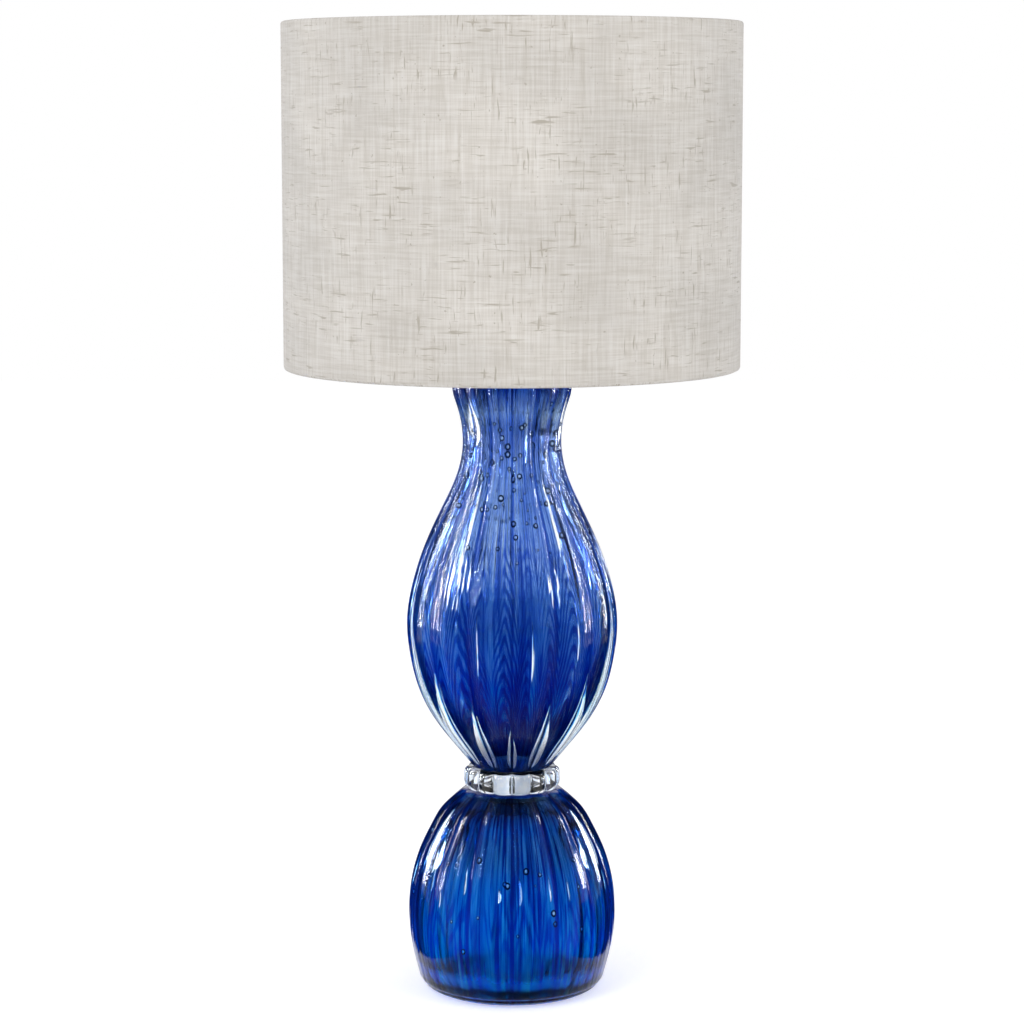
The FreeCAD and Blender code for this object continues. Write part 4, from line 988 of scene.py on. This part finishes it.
def linen():
    """Natural linen: fine uneven threads both ways, with darker slubs."""
    shader = Shader("natural_linen")

    def cloth(across, up, detail=2.0, distortion=0.0):
        return shader.noise(shader.place((across, up, 1), "UV"), detail, distortion=distortion)

    threads = shader.plus(cloth(620, 18), shader.times(cloth(24, 620), 0.8))
    runs = shader.plus(cloth(260, 14), cloth(20, 260))
    level = shader.mix(0.45, threads, runs)
    base = shader.ramp(shader.spread(level, 0.70, 1.30), [
        (0.0, (0.590, 0.553, 0.503)),
        (0.45, (0.672, 0.638, 0.595)),
        (1.0, (0.745, 0.72, 0.685)),
    ])
    cloud = shader.spread(cloth(11, 13, 3.0), 0.3, 0.7, 0.93, 1.05)
    grey = shader.add("CombineXYZ", {"X": cloud, "Y": cloud, "Z": cloud}).outputs[0]
    clouded = shader.mix(1.0, base, grey, "MULTIPLY")
    patches = shader.spread(cloth(22, 26), 0.42, 0.58)
    lying = shader.spread(cloth(42, 430, distortion=0.5), 0.60, 0.70)
    standing = shader.spread(cloth(430, 46, distortion=0.5), 0.61, 0.71)
    specks = shader.spread(cloth(240, 240), 0.68, 0.76)
    slubs = shader.times(shader.most(lying, standing), shader.spread(patches, 0.0, 1.0, 0.25, 1.0))
    slubs = shader.most(slubs, specks)
    colour = shader.mix(shader.times(slubs, 0.75), clouded, (0.385, 0.345, 0.285))
    height = shader.plus(threads, shader.times(slubs, 0.6))
    shader.shade(base_color=colour, roughness=0.92, sheen_weight=0.1, sheen_roughness=0.5,
                 normal=shader.bump(height, 0.5, 0.0004))
    return shader.material


# ---- crystal ring


def make_ring():
    """The clear ring of rounded lobes between the two glass forms."""
    low = 183.0
    high = 202.0
    middle = (low + high) / 2
    half = (high - low) / 2
    columns = RIB_COUNT * 20
    flat = ((12.0, 0), (24.0, 0), (33.0, 2.2))
    rows = [(radius, low, groove) for radius, groove in flat]
    for step in range(25):
        turn = math.pi * (step / 24 - 0.5)
        up = math.copysign(abs(math.sin(turn)) ** 0.7, math.sin(turn))
        out = abs(math.cos(turn)) ** 0.42
        rows.append((34.5 + 8.4 * out, middle + half * up, 2.4 + 3.2 * out))
    rows += [(radius, high, groove) for radius, groove in reversed(flat)]

    def shape(row, angle):
        radius = rib_radius(row[0] * MM, row[2] * MM, angle)
        return (radius * math.cos(angle), radius * math.sin(angle), row[1] * MM)

    points, faces = revolve(rows, even_turns(columns), shape)
    bore = len(rows) - 1
    materials = [int(face // columns == bore) for face in range(len(faces))]
    mesh = mesh_from("crystal_ring_lobes", points, faces, materials)
    crystal = clear_glass("clear_crystal", (0.74, 0.85, 1.0), 0.12)
    seat = moulded("ground_bore", (0.80, 0.86, 0.95), (0.92, 0.95, 1.0), 0.6, 900, 0.3)
    new_piece("crystal_ring_lobes", mesh, "base", ["crystal_ring"], [crystal, seat])


# ---- hardware


def turned_metal(name, dark, light, roughness):
    """Satin metal: fine turning lines round it, handling marks and slightly uneven tone."""
    shader = Shader(name)
    lines = shader.noise(shader.place((3, 3, 900)))
    tone = shader.grain(38, 4.0, 0.6)
    marks = shader.grain(160, 3.0, 0.7, 0.6)
    shader.shade(base_color=shader.blotch(tone, dark, light), metallic=1.0,
                 roughness=shader.spread(marks, 0.3, 0.75, roughness - 0.07, roughness + 0.12),
                 normal=shader.bump(lines, 0.12, 0.0001))
    return shader.material


def plated_metal(name, dark, light, roughness):
    """Plated or drawn sheet: a faint crystal grain and cloudy gloss."""
    shader = Shader(name)
    cells = shader.add("TexVoronoi", {"Vector": shader.place(), "Scale": 420.0}).outputs["Distance"]
    cloud = shader.grain(55, 3.0)
    shader.shade(base_color=shader.blotch(cells, dark, light, 0.1, 0.7), metallic=1.0,
                 roughness=shader.spread(cloud, 0.3, 0.7, roughness - 0.06, roughness + 0.1),
                 normal=shader.bump(cells, 0.08, 0.0001))
    return shader.material


def moulded(name, dark, light, roughness, scale, depth):
    """Moulded plastic, fibre card, fused glass or powder coat: fine grain, soft tone changes."""
    shader = Shader(name)
    fine = shader.grain(scale, 3.0, 0.6)
    shader.shade(base_color=shader.blotch(shader.grain(40), dark, light),
                 roughness=shader.spread(fine, 0.3, 0.7, roughness - 0.06, roughness + 0.06),
                 normal=shader.bump(fine, depth, 0.0003))
    return shader.material


def cork_rubber():
    """Cork crumbs bound in rubber."""
    shader = Shader("cork_rubber")
    crumbs = shader.add("TexVoronoi", {"Vector": shader.place(), "Scale": 620.0})
    shade = shader.add("SeparateColor", {"Color": crumbs.outputs["Color"]}).outputs[0]
    colour = shader.ramp(shade, [
        (0.0, (0.03, 0.034, 0.05)),
        (0.4, (0.05, 0.058, 0.10)),
        (1.0, (0.09, 0.10, 0.15)),
    ])
    shader.shade(base_color=colour, roughness=0.9,
                 normal=shader.bump(crumbs.outputs["Distance"], 0.5, 0.0003))
    return shader.material


def felt():
    """Pressed wool: tangled fibres."""
    shader = Shader("wool_felt")
    fibres = shader.grain(700, 5.0, 0.75, 2.5)
    level = shader.mix(0.4, fibres, shader.grain(120, 3.0))
    shader.shade(base_color=shader.blotch(level, (0.035, 0.035, 0.04), (0.11, 0.11, 0.12), 0.35, 0.65),
                 roughness=1.0, sheen_weight=0.4, sheen_roughness=0.6,
                 normal=shader.bump(fibres, 0.7, 0.0006))
    return shader.material


def clear_glass(name, tint, unevenness):
    """Clear glass with a slightly wavy surface."""
    shader = Shader(name)
    waves = shader.noise(shader.place((60, 60, 40)))
    shader.shade(base_color=shader.blotch(shader.grain(140), tint, (1.0, 1.0, 1.0)), roughness=0.0,
                 transmission_weight=1.0, ior=GLASS_IOR, normal=shader.bump(waves, unevenness, 0.0005))
    return shader.material


def soft_gasket():
    """Translucent silicone."""
    shader = Shader("clear_silicone")
    cloud = shader.grain(90, 3.0)
    shader.shade(base_color=shader.blotch(cloud, (0.84, 0.86, 0.90), (0.93, 0.94, 0.97)),
                 roughness=shader.spread(cloud, 0.3, 0.7, 0.3, 0.45), transmission_weight=0.5, ior=1.4)
    return shader.material


def liner_sheet():
    """Milky styrene sheet: nearly smooth, with faint rolling lines."""
    shader = Shader("styrene_sheet")
    lines = shader.noise(shader.place((25, 25, 260)))
    shader.shade(base_color=shader.blotch(shader.grain(9, 3.0), (0.80, 0.79, 0.765), (0.86, 0.85, 0.83)),
                 roughness=shader.spread(lines, 0.3, 0.7, 0.5, 0.62),
                 normal=shader.bump(lines, 0.1, 0.0002))
    return shader.material


def filament():
    """The coated light strip: yellow gel with small beads under it."""
    shader = Shader("filament_gel")
    beads = shader.noise(shader.place((500, 500, 900)), 1.0)
    shader.shade(base_color=shader.blotch(beads, (0.80, 0.55, 0.16), (0.95, 0.78, 0.38), 0.4, 0.6),
                 roughness=0.45, normal=shader.bump(beads, 0.4, 0.0003))
    return shader.material


def dress_nodes():
    """Give each carried-over node the finish of its material slot."""
    black = (0.014, 0.014, 0.016)
    fused = (0.008, 0.008, 0.010)
    finishes = {
        "brushed_brass": turned_metal("satin_brass", (0.70, 0.51, 0.24), (0.84, 0.66, 0.36), 0.27),
        "zinc_steel": plated_metal("zinc_plate", (0.50, 0.50, 0.50), (0.68, 0.68, 0.66), 0.36),
        "plain_aluminium": plated_metal("drawn_aluminium", (0.70, 0.70, 0.71), (0.82, 0.82, 0.83), 0.24),
        "black_plastic": moulded("black_moulding", black, (0.03, 0.03, 0.032), 0.36, 500, 0.15),
        "black_glass": moulded("black_fused_glass", fused, (0.02, 0.02, 0.022), 0.12, 90, 0.06),
        "card_liner": moulded("fibre_card", (0.12, 0.09, 0.065), (0.21, 0.17, 0.12), 0.85, 700, 0.4),
        "white_wire": moulded("powder_coat", (0.80, 0.80, 0.78), (0.88, 0.88, 0.86), 0.42, 800, 0.25),
        "cork_gasket": cork_rubber(),
        "felt": felt(),
        "clear_gasket": soft_gasket(),
        "clear_crystal": clear_glass("clear_crystal_core", (0.95, 0.975, 1.0), 0.02),
        "blue_glass": clear_glass("blue_core", (0.10, 0.22, 0.70), 0.02),
        "bulb_glass": clear_glass("bulb_glass", (0.985, 0.99, 0.99), 0.03),
        "filament": filament(),
        "white_liner": liner_sheet(),
        "linen": linen(),
    }
    slots = {row["node"]: row["material_slot"] for row in frame["record"]["subparts"]}
    for name, node in frame["nodes"].items():
        node.data.materials.clear()
        node.data.materials.append(finishes[slots[name]])


# ---- stage, light and camera


BACKDROP_ON_OBJECT = 0.56
BACKDROP_SEEN = 1.0
FLOOR_SIZE = 6
FLOOR_LIFT = 0.5
CARD_COLOUR = (0.008, 0.045, 0.30)


def make_world():
    """A white backdrop, which lights the object less than it shows."""
    world = bpy.data.worlds.new("studio")
    bpy.context.scene.world = world
    tree = NodeTree(world)
    inputs = {"Value": tree.seen(), "To Min": BACKDROP_ON_OBJECT, "To Max": BACKDROP_SEEN}
    strength = tree.add("MapRange", inputs).outputs[0]
    background = tree.add("Background", {"Color": (1, 1, 1), "Strength": strength}).outputs[0]
    tree.add("OutputWorld", {"Surface": background})


def add_card(name, corners, material):
    """A flat four-sided piece of the stage."""
    mesh = bpy.data.meshes.new(name)
    mesh.from_pydata(corners, [], [(0, 1, 2, 3)])
    mesh.materials.append(material)
    card = add_object(name, mesh)
    return card


def make_floor():
    """The floor under the lamp."""
    size = FLOOR_SIZE
    corners = [(-size, -size, 0), (size, -size, 0), (size, size, 0), (-size, size, 0)]
    add_card("floor", corners, floor_material())


def floor_material():
    """Pale floor, lifted to the white of the backdrop where it is seen or reflected."""
    shader = Shader("pale_floor")
    lift = shader.add("Emission", {"Strength": shader.times(shader.seen(), FLOOR_LIFT)}).outputs[0]
    shader.shade(base_color=(0.9, 0.9, 0.9), roughness=1.0, specular_ior_level=0.0)
    both = shader.add("AddShader", {0: shader.surface.outputs[0], 1: lift}).outputs[0]
    shader.put(shader.output.inputs["Surface"], both)
    return shader.material


def add_dark_card(name, corners):
    """A dark card that only shows in reflections and so draws the glass's edges."""
    shader = Shader(name)
    shader.shade(base_color=CARD_COLOUR, roughness=1.0, specular_ior_level=0.0)
    card = add_card(name, corners, shader.material)
    for kind in ("camera", "diffuse", "transmission", "shadow", "volume_scatter"):
        setattr(card, "visible_" + kind, False)


def make_dark_cards():
    """On either side, an upright card behind the lamp and one that lies just above the floor."""
    front = -0.1
    back = 1.4
    lift = 0.002
    for side, name in ((-1, "left"), (1, "right")):
        near = (0.35 * side, 1.5)
        far = (1.45 * side, 0.8)
        add_dark_card(name + "_card", [(*near, 0), (*far, 0), (*far, 1.8), (*near, 1.8)])
        inner = 0.14 * side
        outer = 1.2 * side
        add_dark_card(name + "_low_card", [(inner, front, lift), (outer, front, lift),
                                           (outer, back, lift), (inner, back, lift)])


def add_softbox(name, place, target, size, power, only_gloss=False):
    """A soft lamp of this (width, height) that faces a height on the object's axis."""
    light = bpy.data.lights.new(name, "AREA")
    light.shape = "RECTANGLE"
    light.size, light.size_y = size
    light.energy = power
    lamp = add_object(name, light)
    lamp.location = place
    aim = Vector((0, 0, target)) - Vector(place)
    lamp.rotation_euler = aim.to_track_quat("-Z", "Y").to_euler()
    lamp.visible_diffuse = not only_gloss


def make_lights():
    """Two soft lamps in front, and three that only draw highlights."""
    add_softbox("key", (-1.4, -2.2, 1.9), 0.5, (1.2, 1.6), 27)
    add_softbox("fill", (1.8, -1.6, 1.2), 0.5, (0.8, 1.6), 14)
    add_softbox("left_strip", (-1.6, 0.5, 0.72), 0.35, (0.2, 1.3), 40, only_gloss=True)
    add_softbox("right_strip", (1.6, 0.6, 0.72), 0.35, (0.16, 1.3), 32, only_gloss=True)
    add_softbox("left_panel", (-1.72, -0.85, 0.95), 0.4, (0.25, 0.6), 42, only_gloss=True)


def make_camera():
    """The camera, a little above the middle of the lamp and looking slightly down."""
    data = bpy.data.cameras.new("camera")
    data.sensor_width = 36
    data.lens = 105.5
    camera = add_object("camera", data)
    camera.location = (0, -2.631, 0.7865)
    camera.rotation_euler = (math.radians(90 - 7.7), 0, 0)
    bpy.context.scene.camera = camera


make_camera()
make_world()
make_floor()
make_lights()
make_dark_cards()
dress_nodes()
inside_glass = [layer_glass(), bubble_glass(), painted_highlight_glass()]
make_vase(inside_glass)
make_dome(inside_glass)
make_ring()
make_shade()
bpy.context.scene.view_settings.view_transform = "Standard"
